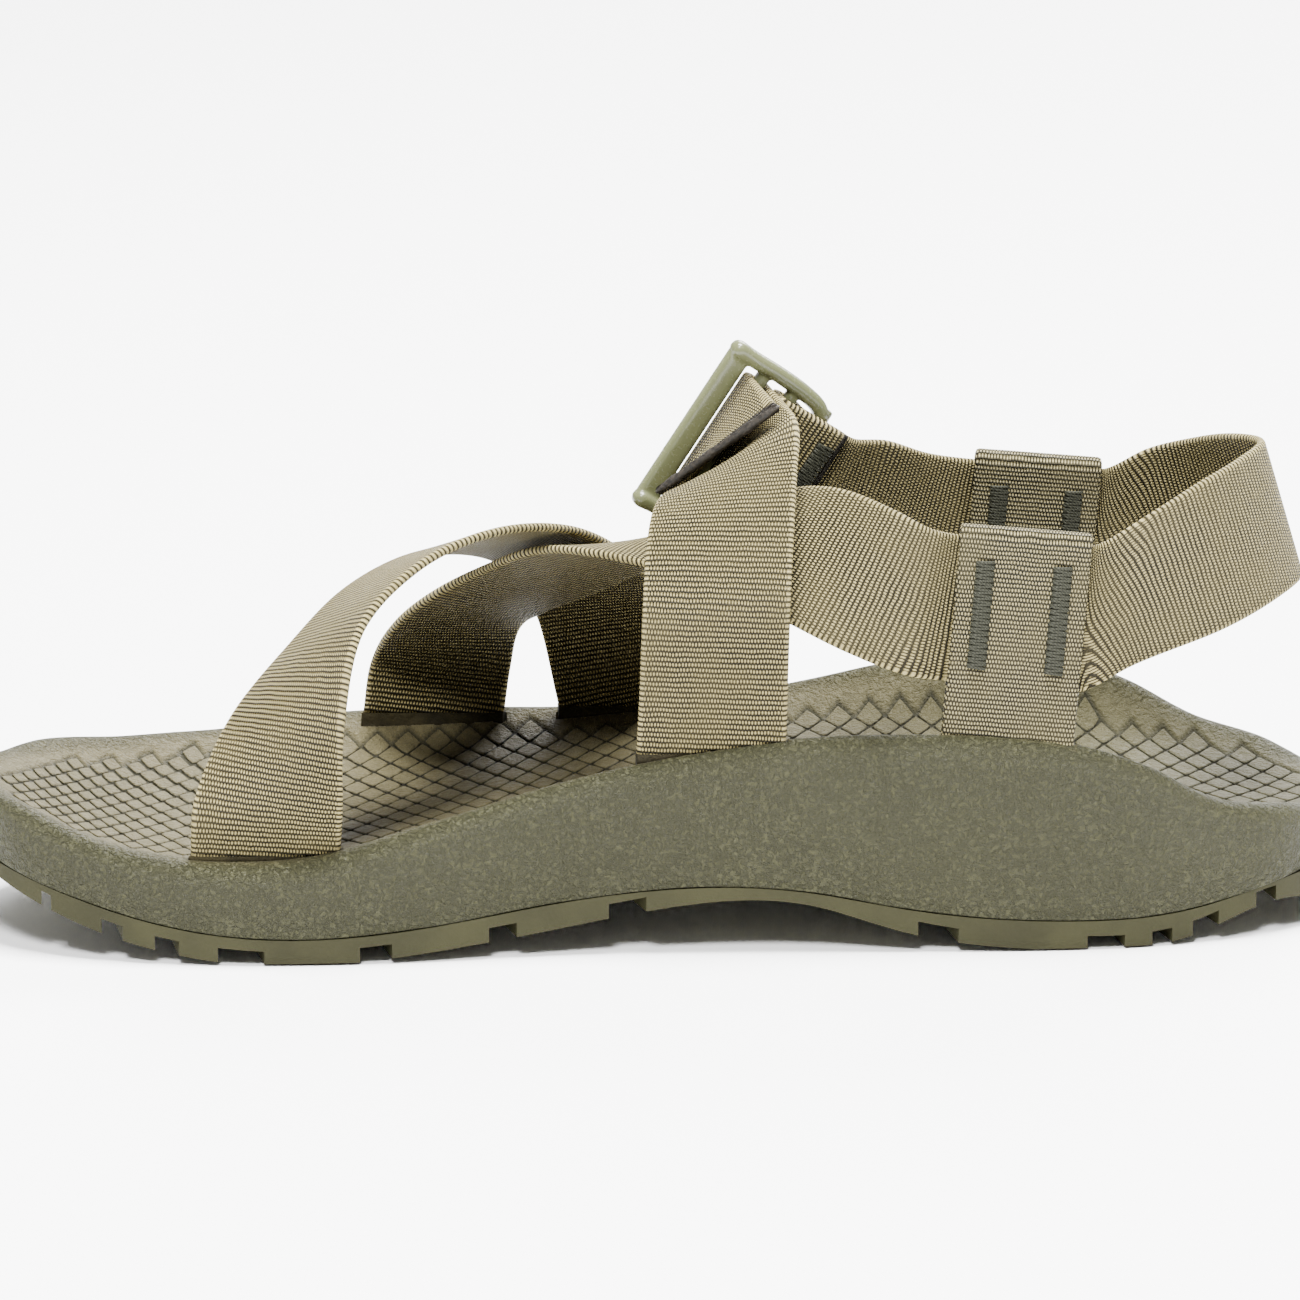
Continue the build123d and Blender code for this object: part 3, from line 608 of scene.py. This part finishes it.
# ---- operators --------------------------------------------------------------------------------------
class SANDAL_OT_midsole(bpy.types.Operator):
    """Cast the midsole: rounded rim, grained flanks, dished footbed with raised diamonds"""

    bl_idname = "sandal.midsole"
    bl_label = "Midsole"

    def outline(self, count):
        rows = [r for r in SOLE_SECTIONS if TOE_TIP[0] < r[0] < HEEL_TIP[0]]
        loop = [TOE_TIP] + [(r[0], r[1]) for r in rows] + [HEEL_TIP] + [(r[0], r[2]) for r in reversed(rows)]
        wrapped = [(*p, 0) for p in loop[-3:] + loop + loop[:4]]
        dense = through(wrapped, 4000)
        start = int(np.argmin(np.linalg.norm(dense[:2000] - np.array((*TOE_TIP, 0)), axis=1)))
        end = 2000 + int(np.argmin(np.linalg.norm(dense[2000:] - np.array((*TOE_TIP, 0)), axis=1)))
        around = dense[start:end]
        run = np.concatenate([[0], np.cumsum(np.linalg.norm(np.diff(around, axis=0), axis=1))])
        at = np.linspace(0, run[-1], count, endpoint=False)
        return np.stack([np.interp(at, run, around[:, k]) for k in (0, 1)], axis=1)

    def columns(self):
        """Smooth sampling of the section table along the foot."""
        table = np.array(SOLE_SECTIONS, float)
        fine_x = np.linspace(table[0, 0], table[-1, 0], 1200)
        slopes = np.gradient(table, table[:, 0], axis=0)
        i = np.clip(np.searchsorted(table[:, 0], fine_x, side="right") - 1, 0, len(table) - 2)
        h = (table[i + 1, 0] - table[i, 0])[:, None]
        t = ((fine_x - table[i, 0]) / h[:, 0])[:, None]
        values = (
            (2 * t**3 - 3 * t**2 + 1) * table[i]
            + (t**3 - 2 * t**2 + t) * h * slopes[i]
            + (3 * t**2 - 2 * t**3) * table[i + 1]
            + (t**3 - t**2) * h * slopes[i + 1]
        )
        return fine_x, values

    def heights(self, x, y):
        """Footbed and parting-line heights over places on the last."""
        edge_m, edge_l, part_m, part_l, rim_m, bed, rim_l = (
            np.interp(x, self.fine_x, self.values[:, k]) for k in range(1, 8)
        )
        middle = (edge_m + edge_l) / 2
        medial = y < middle
        rim = np.where(medial, rim_m, rim_l)
        reach = np.where(medial, middle - edge_m, edge_l - middle)
        share = np.clip(np.abs(y - middle) / reach, 0, 1.02)
        inner = 0.22 * (share / 0.62) ** 2
        t = np.clip((share - 0.62) / 0.38, 0, 1)
        slope_in, slope_out = 0.44 / 0.62 * 0.38, 0.35
        outer = (
            (2 * t**3 - 3 * t**2 + 1) * 0.22
            + (t**3 - 2 * t**2 + t) * slope_in
            + (3 * t**2 - 2 * t**3)
            + (t**3 - t**2) * slope_out
        )
        climb = np.where(share < 0.62, inner, outer)
        part = part_m + (part_l - part_m) * (y + 75) / 150
        return bed + (rim - bed) * climb, part, share

    def execute(self, context):
        s = sizes()
        self.fine_x, self.values = self.columns()
        around = self.outline(900)
        self.placed = self.place_diamonds(around)
        spine_x = np.clip(around[:, 0], -100, 112)
        table_mid = (self.values[:, 1] + self.values[:, 2]) / 2
        spine = np.stack([spine_x, np.interp(spine_x, self.fine_x, table_mid)], axis=1)
        outward = around - spine
        reach = np.linalg.norm(outward, axis=1)
        unit = outward / reach[:, None]
        radius = s.rim_radius / MM
        fall_of_x = [[-150, -100, -40, 10, 40, 90, 120, 150], [7.0, 5.0, 6.0, 9.0, 11.0, 10.0, 6.0, 5.0]]
        fall = np.interp(around[:, 0], *fall_of_x)
        vertices, zones, rings = [], [], []

        def ring(places, z, flank, groove_shade_and_seam):
            rings.append(len(vertices))
            for (x, y), height, f, gr in zip(places, z, flank, groove_shade_and_seam):
                vertices.append(on_last(x, y, height))
                zones.append((f, gr, 0))

        for k in np.concatenate([np.linspace(0.0, 0.7, 36), 1 - 0.29 * np.linspace(1, 0, 30) ** 1.6]):
            q = (1 - k) * reach
            places = around - unit * q[:, None]
            if k == 1.0:
                places = around - unit * 0.02
            z, _, _ = self.heights(places[:, 0], places[:, 1])
            near = np.clip((radius - q) / radius, 0, 1)
            drop = fall * (1 - np.sqrt(np.clip(1 - near**2, 0, None)))
            tread = self.tread_mask(places)
            z = z - drop - tread * s.groove_depth / MM
            flank = np.clip(1 - (q - 2.0) / 6.0, 0, 1)
            # The recess mask also sets where the grooves' shade is painted.
            ring(places, z, flank, tread)
        top_edge, part, _ = self.heights(around[:, 0], around[:, 1])
        high = top_edge - fall
        low_part = part + 0.35
        for t in np.linspace(0.04, 1, 14):
            bulge = 0.35 * math.sin(math.pi * t) - 0.02
            places = around + unit * bulge * np.minimum(1, (high - low_part) / 12)[:, None]
            z = high + (low_part - high) * t
            ring(places, z, np.ones(len(around)), np.zeros(len(around)))
        # The bottom rings take the full dark mask, which darkens the seam strip along the parting line.
        ring(around - unit * 0.5, part + 0.02, np.ones(len(around)), np.full(len(around), 1.0))
        ring(around - unit * 3.0, part + 0.05, np.ones(len(around)), np.full(len(around), 1.0))
        count = len(around)
        faces = []
        for a, b in zip(rings, rings[1:]):
            for j in range(count):
                n = (j + 1) % count
                faces.append((a + j, a + n, b + n, b + j))
        base = rings[-1]
        spine_ring = len(vertices)
        for (x, y), z in zip(spine, self.heights(spine[:, 0], spine[:, 1])[1]):
            vertices.append(on_last(x, y, z + 0.05))
            zones.append((1, 1, 0))
        for j in range(count):
            n = (j + 1) % count
            faces.append((base + j, base + n, spine_ring + n, spine_ring + j))
        made = piece("midsole", vertices, faces, "midsole_foam", {"zone": zones})
        tidy = bmesh.new()
        tidy.from_mesh(made.data)
        bmesh.ops.remove_doubles(tidy, verts=tidy.verts, dist=0.00004)
        bmesh.ops.recalc_face_normals(tidy, faces=tidy.faces)
        tidy.to_mesh(made.data)
        tidy.free()
        made.data.shade_smooth()
        self.cut_slots(made)
        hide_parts("midsole")
        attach(made, "sole")
        diamonds = self.diamonds()
        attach(diamonds, "sole")
        return {"FINISHED"}

    def tread_mask(self, places):
        """1 in the recess that the diamonds stand in and 0 on the plain border."""
        cells = np.array(self.placed)
        away = np.full(len(places), 9.0)
        for part in np.array_split(np.arange(len(cells)), 8):
            x, y, half_x, half_y = cells[part, :4].T
            reach = np.abs(places[:, :1] - x) / half_x + np.abs(places[:, 1:2] - y) / half_y
            away = np.minimum(away, reach.min(axis=1))
        return np.clip((1.32 - away) / 0.24, 0, 1)

    def lattice(self, x):
        """The number of diamonds from the arch to a place along the foot."""
        fine = self.fine_x
        cell = np.interp(fine, [-150, -120, -95, -70], [4.2, 4.4, 5.6, sizes().diamond_length / MM])
        run = np.concatenate([[0], np.cumsum(np.diff(fine) / ((cell[1:] + cell[:-1]) / 2))])
        return np.interp(x, fine, run), np.interp(x, fine, cell)

    def place_diamonds(self, around):
        """Whole diamonds only: middle, half length, half width and distance inside the border."""
        run_of_x, cell_of_x = self.lattice(self.fine_x)
        mid_of_x = (self.values[:, 1] + self.values[:, 2]) / 2
        wide = sizes().diamond_width / MM
        placed = []
        for i in range(int(run_of_x[-1] * 2) + 1):
            for j in range(-14, 15):
                if (i + j) % 2:
                    continue
                x = float(np.interp(i / 2, run_of_x, self.fine_x))
                cell = float(np.interp(x, self.fine_x, cell_of_x))
                narrow = wide * min(1.0, 0.75 + 0.25 * (cell - 4.2) / 2.3)
                y = float(np.interp(x, self.fine_x, mid_of_x)) + j / 2 * narrow
                lean = -0.22 * max(0.0, min(1.0, (-80 - x) / 50))
                x += lean * j / 2 * narrow * 0.5
                inside = self.edge_distance(x, y, around)
                margin = float(np.interp(x, *BORDER_WIDTH))
                if inside >= margin:
                    placed.append((x, y, cell / 2, narrow / 2, inside - margin))
        return placed

    def diamonds(self):
        """Raised diamonds with soft edges, whole ones only, on the footbed's dish."""
        s = sizes()
        gap, depth = s.groove_width / MM / 2, s.groove_depth / MM
        vertices, zones, faces = [], [], []
        for x, y, half_x, half_y, inside in self.placed:
            depth_here = depth * (0.86 + 0.14 * min(1.0, inside / 12))
            shrink = gap * math.hypot(half_x, half_y) / (half_x * half_y)
            start = len(vertices)
            for taper, up in PAD_LEVELS:
                size = 1 - shrink * taper
                for k in range(16):
                    angle = math.tau * k / 16
                    c, n = math.cos(angle), math.sin(angle)
                    stretch = 1 / (abs(c) ** 1.12 + abs(n) ** 1.12) ** (1 / 1.12)
                    px, py = x + c * stretch * half_x * size, y + n * stretch * half_y * size
                    vertices.append((px, py, up * depth_here))
                    # The diamonds' low sides take the painted groove shade.
                    zones.append((0.0, 1.0 if up < 0.6 else 0.0, 0.0))
            vertices.append((x, y, depth_here))
            zones.append((0.0, 0.0, 0.0))
            for level in range(3):
                for k in range(16):
                    n = (k + 1) % 16
                    lower, upper = start + level * 16, start + (level + 1) * 16
                    faces.append((lower + k, lower + n, upper + n, upper + k))
            for k in range(16):
                faces.append((start + 48 + k, start + 48 + (k + 1) % 16, start + 64))
        flat = np.array(vertices, float)
        base, _, _ = self.heights(flat[:, 0], flat[:, 1])
        placed = [on_last(x, y, z + up - depth) for (x, y, up), z in zip(flat, base)]
        made = piece("footbed_diamonds", placed, faces, "midsole_foam", {"zone": zones})
        return made

    def edge_distance(self, x, y, around):
        if not around[:, 0].min() < x < around[:, 0].max():
            return -1.0
        inner = (np.abs(self.fine_x - x)).argmin()
        if not self.values[inner, 1] < y < self.values[inner, 2]:
            return -1.0
        return float(np.min(np.hypot(around[:, 0] - x, around[:, 1] - y)))

    def cut_slots(self, made):
        """Open the slots that the straps and risers pass through."""
        vertices, faces = [], []

        def prism(origin, x_dir, y_dir, z_dir, half_x, half_y, low, high):
            start = len(vertices)
            for z in (low, high):
                for sx, sy in ((-1, -1), (1, -1), (1, 1), (-1, 1)):
                    place = origin + x_dir * sx * half_x + y_dir * sy * half_y + z_dir * z
                    vertices.append(on_last(*place))
            for quad in ((3, 2, 1, 0), (4, 5, 6, 7), (0, 1, 5, 4), (1, 2, 6, 5), (2, 3, 7, 6), (3, 0, 4, 7)):
                faces.append(tuple(start + k for k in quad))

        length_way, width_way, upward = Vector((1, 0, 0)), Vector((0, 1, 0)), Vector((0, 0, 1))
        for x, y in SLOTS:
            top = float(self.heights(np.array([x]), np.array([y]))[0][0])
            prism(Vector((x, y, 0)), length_way, width_way, upward, 15.5, 1.3, top - 9, top + 14)
        for side_name in RISERS:
            foot, back, up, out, _ = riser_axes(side_name)
            half_wide, half_deep = RISER_WIDTH / 2 + 0.5, RISER_HALF_CAVITY + RISER_THICKNESS + 0.4
            prism(foot, back, out, up, half_wide, half_deep, -8, 14)
        cutter = piece("slot_cutter", vertices, faces, "midsole_foam", smooth=False)
        tool = made.modifiers.new("slots", "BOOLEAN")
        tool.operation, tool.object, tool.solver = "DIFFERENCE", cutter, "EXACT"
        bpy.context.view_layer.update()
        graph = bpy.context.evaluated_depsgraph_get()
        cut = bpy.data.meshes.new_from_object(made.evaluated_get(graph))
        made.modifiers.clear()
        made.data = cut
        bpy.data.objects.remove(cutter)


class SANDAL_OT_outsole(bpy.types.Operator):
    """Give the outsole its rubber finish, and the webbing runs under the foot their webbing finish"""

    bl_idname = "sandal.outsole"
    bl_label = "Outsole"

    def execute(self, context):
        finishes = {
            "outsole": "outsole_rubber",
            "underfoot_front_run": "webbing",
            "underfoot_rear_run": "webbing",
        }
        for node, name in finishes.items():
            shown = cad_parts[node]
            shown.data.materials.clear()
            shown.data.materials.append(finish(name))
        return {"FINISHED"}


class SANDAL_OT_straps(bpy.types.Operator):
    """Lay the toe, cross, instep and heel straps"""

    bl_idname = "sandal.straps"
    bl_label = "Straps"

    def execute(self, context):
        toe = ribbon("toe_strap", *smooth_pairs(TOE_STRAP), "webbing")
        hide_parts("toe_strap")
        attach(toe, "sole")
        rear = RISER_WIDTH / 2
        cross_pairs = CROSS_STRAP + [held("medial", place) for place in (-rear - 1, -5, 3, rear - 3.2)]
        cross = ribbon("cross_strap", *smooth_pairs(cross_pairs), "webbing")
        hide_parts("cross_strap")
        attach(cross, "sole")
        approach = (
            in_buckle(FRONT_BAR + BAR_DEPTH - 1.5, -HALF_WEB, STRAP_ENTRY + 6),
            in_buckle(FRONT_BAR + BAR_DEPTH + PLY + 0.6, HALF_WEB, STRAP_ENTRY + 6),
        )
        entry = [in_buckle(FRONT_BAR + BAR_DEPTH + PLY, w, STRAP_ENTRY - 0.4) for w in (-HALF_WEB, HALF_WEB)]
        instep = ribbon("instep_strap", *smooth_pairs(INSTEP_STRAP + [approach, entry]), "webbing")
        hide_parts("instep_strap")
        on_last(*((entry[0] + entry[1]) / 2))
        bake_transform(instep)
        heel_pairs = [held("medial", rear - 3), held("medial", rear + 0.7)] + HEEL_STRAP
        heel_pairs += [held("lateral", rear + 0.7), held("lateral", rear - 3)]
        heel = ribbon("heel_strap", *smooth_pairs(heel_pairs), "webbing")
        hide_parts("heel_strap")
        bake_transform(heel)
        return {"FINISHED"}


class SANDAL_OT_buckle_webbing(bpy.types.Operator):
    """Thread the webbing through the buckle: the wrap with its sealed tail, and the sewn loop"""

    bl_idname = "sandal.buckle_webbing"
    bl_label = "Buckle webbing"

    def execute(self, context):
        far, near = FRONT_BAR + BAR_DEPTH + PLY, FRONT_BAR - PLY
        corners = [(far, STRAP_ENTRY), (far, -PLY_INWARD), (near, -PLY_INWARD), (near, STRAP_ENTRY)]
        route = rounded_route(corners, 1.6, 0.5)
        low = [on_last(*in_buckle(x, -HALF_WEB, z)) for x, z in route]
        high = [on_last(*in_buckle(x, HALF_WEB, z)) for x, z in route]
        for k in range(1, 15):
            t = k / 14
            low.append(on_last(*in_buckle(near - 5.2 * t**1.4, -HALF_WEB, STRAP_ENTRY + 1.8 * t)))
            high.append(on_last(*in_buckle(near + 0.6 * t**1.5, HALF_WEB, STRAP_ENTRY + 17 * t)))
        tail = ribbon("buckle_wrap_and_tail", low, high, "webbing", sealed_end=True)
        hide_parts("buckle_wrap", "strap_tail")
        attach(tail, "buckle")
        begin, end = Vector(low[-1]), Vector(high[-1])
        line = (end - begin).normalized()
        side = line.orthogonal().normalized()
        lift = line.cross(side)
        vertices, around, count = [], 12, 40
        for n in range(count):
            t = n / (count - 1)
            uneven = 1 + 0.1 * math.sin(19 * t) + 0.07 * math.sin(43 * t + 1)
            swell = SEAL_RADIUS * uneven * min(1, 0.35 + 6 * min(t, 1 - t))
            for m in range(around):
                angle = math.tau * m / around
                out = side * math.cos(angle) + lift * math.sin(angle)
                vertices.append(begin + (end - begin) * t + out * swell)
        edge = piece("tail_sealed_edge", vertices, skin(count, around), "webbing")
        edge.data.materials[0] = finish("sealed_edge")
        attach(edge, "buckle")
        near, far = BACK_BAR - PLY, BACK_BAR + BAR_DEPTH + PLY
        corners = [(FOLD_END - 2, PLY_INWARD), (far, PLY_INWARD), (far, -PLY_INWARD), (near, -PLY_INWARD)]
        corners += [(near, SECOND_PLY), (FOLD_END - 0.4, SECOND_PLY)]
        loop = rounded_route(corners, 1.2, 0.8)
        rear = RISER_WIDTH / 2
        pairs = [held("lateral", place) for place in (rear - 3.2, 3, -5, -rear - 1)] + LATERAL_STRAP
        join = [in_buckle(FOLD_END + 1.5, w, PLY_INWARD + 0.3) for w in (-HALF_WEB, HALF_WEB)]
        last_pair = [in_buckle(FOLD_END - 2, w, PLY_INWARD) for w in (-HALF_WEB, HALF_WEB)]
        low, high = smooth_pairs(pairs + [join, last_pair])
        low = list(low) + [on_last(*in_buckle(x, -HALF_WEB, z)) for x, z in loop[1:]]
        high = list(high) + [on_last(*in_buckle(x, HALF_WEB, z)) for x, z in loop[1:]]
        strap = ribbon("lateral_ankle_strap", low, high, "webbing", sealed_end=True)
        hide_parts("lateral_ankle_strap", "buckle_anchor_loop")
        start, end = in_buckle(FOLD_END + 12, 0, PLY_INWARD), in_buckle(FOLD_END, 0, PLY_INWARD)
        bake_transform(strap)
        return {"FINISHED"}


class SANDAL_OT_risers(bpy.types.Operator):
    """Fold the heel risers over the strap that they hold"""

    bl_idname = "sandal.risers"
    bl_label = "Risers"

    def execute(self, context):
        for side in RISERS:
            foot, back, up, out, height = riser_axes(side)
            middle = RISER_HALF_CAVITY + RISER_THICKNESS / 2
            top = height + HALF_WEB + 0.5 + RISER_THICKNESS / 2
            corners = [(-middle, -7.5), (-middle, top), (middle, top), (middle, -7.5)]
            route = rounded_route([Vector(c) for c in corners], middle * 0.95, 1.2)
            half = RISER_WIDTH / 2
            low, high = [], []
            for across, rise in route:
                place = foot + out * across + up * rise
                low.append(on_last(*(place - back * half)))
                high.append(on_last(*(place + back * half)))
            made = ribbon(f"{side}_riser", low, high, "riser_webbing")
            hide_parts(f"{side}_riser")
            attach(made, "sole")
        return {"FINISHED"}


class SANDAL_OT_bartacks(bpy.types.Operator):
    """Sew the bartacks: packed zigzag stitches of thread"""

    bl_idname = "sandal.bartacks"
    bl_label = "Bartacks"

    def stitches(self, name, tacks, node, body, length=22.0, width=3.8):
        vertices, faces = [], []
        count = sizes().stitch_count
        for origin, long_dir, wide_dir, lift in tacks:
            for n in range(count):
                t = (n + 0.5) / count - 0.5
                slant = 0.16 if n % 2 else -0.16
                start = len(vertices)
                for k in range(7):
                    u = k / 6 - 0.5
                    arch = 0.36 * math.cos(math.pi * u) ** 0.6 if abs(u) < 0.5 else 0.0
                    centre = origin + long_dir * (t * length + slant * u * 1.6)
                    centre += wide_dir * (u * width) + lift * (arch + 0.05)
                    for m in range(6):
                        angle = math.tau * m / 6
                        out = long_dir * math.cos(angle) * THREAD_WIDE + lift * math.sin(angle) * THREAD_DEEP
                        vertices.append(on_last(*(centre + out)))
                faces += skin(7, 6, start)
        made = piece(name, vertices, faces, "bartack_thread")
        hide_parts(node)
        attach(made, body)

    def execute(self, context):
        for side in RISERS:
            foot, back, up, out, height = riser_axes(side)
            tacks = []
            for face in (-1, 1):
                surface = foot + out * face * (RISER_HALF_CAVITY + RISER_THICKNESS) + up * (height - 0.5)
                tacks += [(surface + back * place, up, back, out * face) for place in (-7.75, 7.75)]
            self.stitches(f"{side}_riser_bartacks", tacks, f"{side}_riser_bartacks", "sole")
        origin = in_buckle(FOLD_END - 1.2 - 2.25, 0, SECOND_PLY + 0.875)
        self.stitches(
            "anchor_bartack", [(origin, BUCKLE_WIDE, BUCKLE_LONG, BUCKLE_INWARD)], "anchor_bartack", "buckle"
        )
        return {"FINISHED"}


class SANDAL_OT_buckle(bpy.types.Operator):
    """Mould the ladder-lock buckle: two rails with swelled tips, a plate and three bars"""

    bl_idname = "sandal.buckle"
    bl_label = "Buckle"

    def execute(self, context):
        vertices, faces = [], []

        def bar(path, half_side, half_deep, square, round_ends):
            """A bar swept along points of the buckle's plane; its ends close to rounded tips."""
            start, around, count = len(vertices), 20, len(path)
            for n, (x, y, z) in enumerate(path):
                ahead = Vector(path[min(n + 1, count - 1)]) - Vector(path[max(n - 1, 0)])
                side = Vector((-ahead.y, ahead.x, 0)).normalized()
                t = n / (count - 1)
                swell = 1 + 0.14 * math.exp(-((t / 0.12) ** 2)) * round_ends
                end = min(t, 1 - t) * (count - 1)
                if round_ends and end < 4:
                    swell *= math.sqrt(max(0.02, 1 - (1 - end / 4) ** 2))
                for m in range(around):
                    angle = math.tau * m / around
                    c, d = math.cos(angle), math.sin(angle)
                    reach = (abs(c) ** square + abs(d) ** square) ** (-1 / square)
                    across = side * (c * reach * half_side * swell)
                    place = in_buckle(x + across.x, y + across.y, z + d * reach * half_deep * swell)
                    vertices.append(on_last(*place))
            faces.extend(skin(count, around, start))

        for side in (-1, 1):
            rail = through([(x, side * y, z) for x, y, z in RAIL_LINE], 44)
            bar([tuple(point) for point in rail], *RAIL_HALVES, 2.5, 1.0)
        for x, half_long, half_deep in BUCKLE_BARS:
            bow = 0.5 if x > 20 else 0.0
            path = [(x + bow * (1 - (k / 6 - 1) ** 2), -17 + 34 * k / 12, 0) for k in range(13)]
            bar(path, half_long, half_deep, 4.0, 0.0)
        made = piece("buckle_frame", vertices, faces, "buckle_plastic")
        fused = made.modifiers.new("fused", "REMESH")
        fused.mode, fused.voxel_size = "VOXEL", 0.0003
        soft = made.modifiers.new("soft", "SMOOTH")
        soft.factor, soft.iterations = 0.6, 6
        bpy.context.view_layer.update()
        graph = bpy.context.evaluated_depsgraph_get()
        moulded = bpy.data.meshes.new_from_object(made.evaluated_get(graph))
        made.modifiers.clear()
        made.data = moulded
        moulded.shade_smooth()
        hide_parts("buckle_frame")
        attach(made, "buckle")
        return {"FINISHED"}


class SANDAL_OT_stage(bpy.types.Operator):
    """Set the floor, the lights and the camera"""

    bl_idname = "sandal.stage"
    bl_label = "Stage"

    def execute(self, context):
        mesh = bpy.data.meshes.new("floor")
        rows = []
        for i in range(25):
            t = i / 24
            y = -3.0 + 6.0 * min(1, t * 1.6)
            z = 0.0 if t < 0.625 else 3.0 * ((t - 0.625) / 0.375) ** 2
            rows += [(-5, y, z - 0.0005), (5, y, z - 0.0005)]
        faces = [(2 * i, 2 * i + 1, 2 * i + 3, 2 * i + 2) for i in range(24)]
        mesh.from_pydata(rows, [], faces)
        mesh.shade_smooth()
        floor = bpy.data.objects.new("floor", mesh)
        bpy.context.collection.objects.link(floor)
        g = Graph("floor")
        mesh.materials.append(g.surface(Base_Color=(1.0, 1.0, 1.0), Roughness=0.9, Specular_IOR_Level=0.1))
        world = bpy.data.worlds.new("studio")
        world.use_nodes = True
        world.node_tree.nodes["Background"].inputs[0].default_value = (1, 1, 1, 1)
        world.node_tree.nodes["Background"].inputs[1].default_value = 0.3
        bpy.context.scene.world = world
        for name, place, size, power in LIGHTS:
            data = bpy.data.lights.new(name, "AREA")
            data.size, data.energy = size, power
            lamp = bpy.data.objects.new(name, data)
            lamp.location = place
            lamp.rotation_euler = (-Vector(place) + Vector((0, 0, 0.04))).to_track_quat("-Z", "Y").to_euler()
            bpy.context.collection.objects.link(lamp)
        data = bpy.data.cameras.new("camera")
        data.sensor_width, data.lens = 36.0, 188.8
        camera = bpy.data.objects.new("camera", data)
        bpy.context.collection.objects.link(camera)
        target = on_last(0, 0, 51.7)
        elevation = math.radians(15)
        back = Vector((0, -math.cos(elevation), math.sin(elevation)))
        camera.location = target + back * 1.4
        camera.rotation_euler = (-back).to_track_quat("-Z", "Y").to_euler()
        bpy.context.scene.camera = camera
        return {"FINISHED"}


PIECES = (
    SANDAL_OT_midsole,
    SANDAL_OT_outsole,
    SANDAL_OT_straps,
    SANDAL_OT_risers,
    SANDAL_OT_bartacks,
    SANDAL_OT_buckle,
    SANDAL_OT_buckle_webbing,
    SANDAL_OT_stage,
)


class SANDAL_PT_panel(bpy.types.Panel):
    """The sandal's pieces, in the order that they are built"""

    bl_label = "Sport sandal"
    bl_idname = "SANDAL_PT_panel"
    bl_space_type = "VIEW_3D"
    bl_region_type = "UI"
    bl_category = "Sandal"

    def draw(self, context):
        for made in PIECES:
            self.layout.operator(made.bl_idname)


CLASSES = (SandalSizes, SandalColours, *PIECES, SANDAL_PT_panel)


def register():
    for kind in CLASSES:
        bpy.utils.register_class(kind)
    bpy.types.Scene.sandal_sizes = bpy.props.PointerProperty(type=SandalSizes)
    bpy.types.Scene.sandal_colours = bpy.props.PointerProperty(type=SandalColours)


def unregister():
    del bpy.types.Scene.sandal_colours
    del bpy.types.Scene.sandal_sizes
    for kind in reversed(CLASSES):
        bpy.utils.unregister_class(kind)


def main():
    register()
    bpy.ops.sandal.midsole()
    bpy.ops.sandal.outsole()
    bpy.ops.sandal.straps()
    bpy.ops.sandal.risers()
    bpy.ops.sandal.bartacks()
    bpy.ops.sandal.buckle()
    bpy.ops.sandal.buckle_webbing()
    bpy.ops.sandal.stage()


if __name__ == "__main__":
    main()
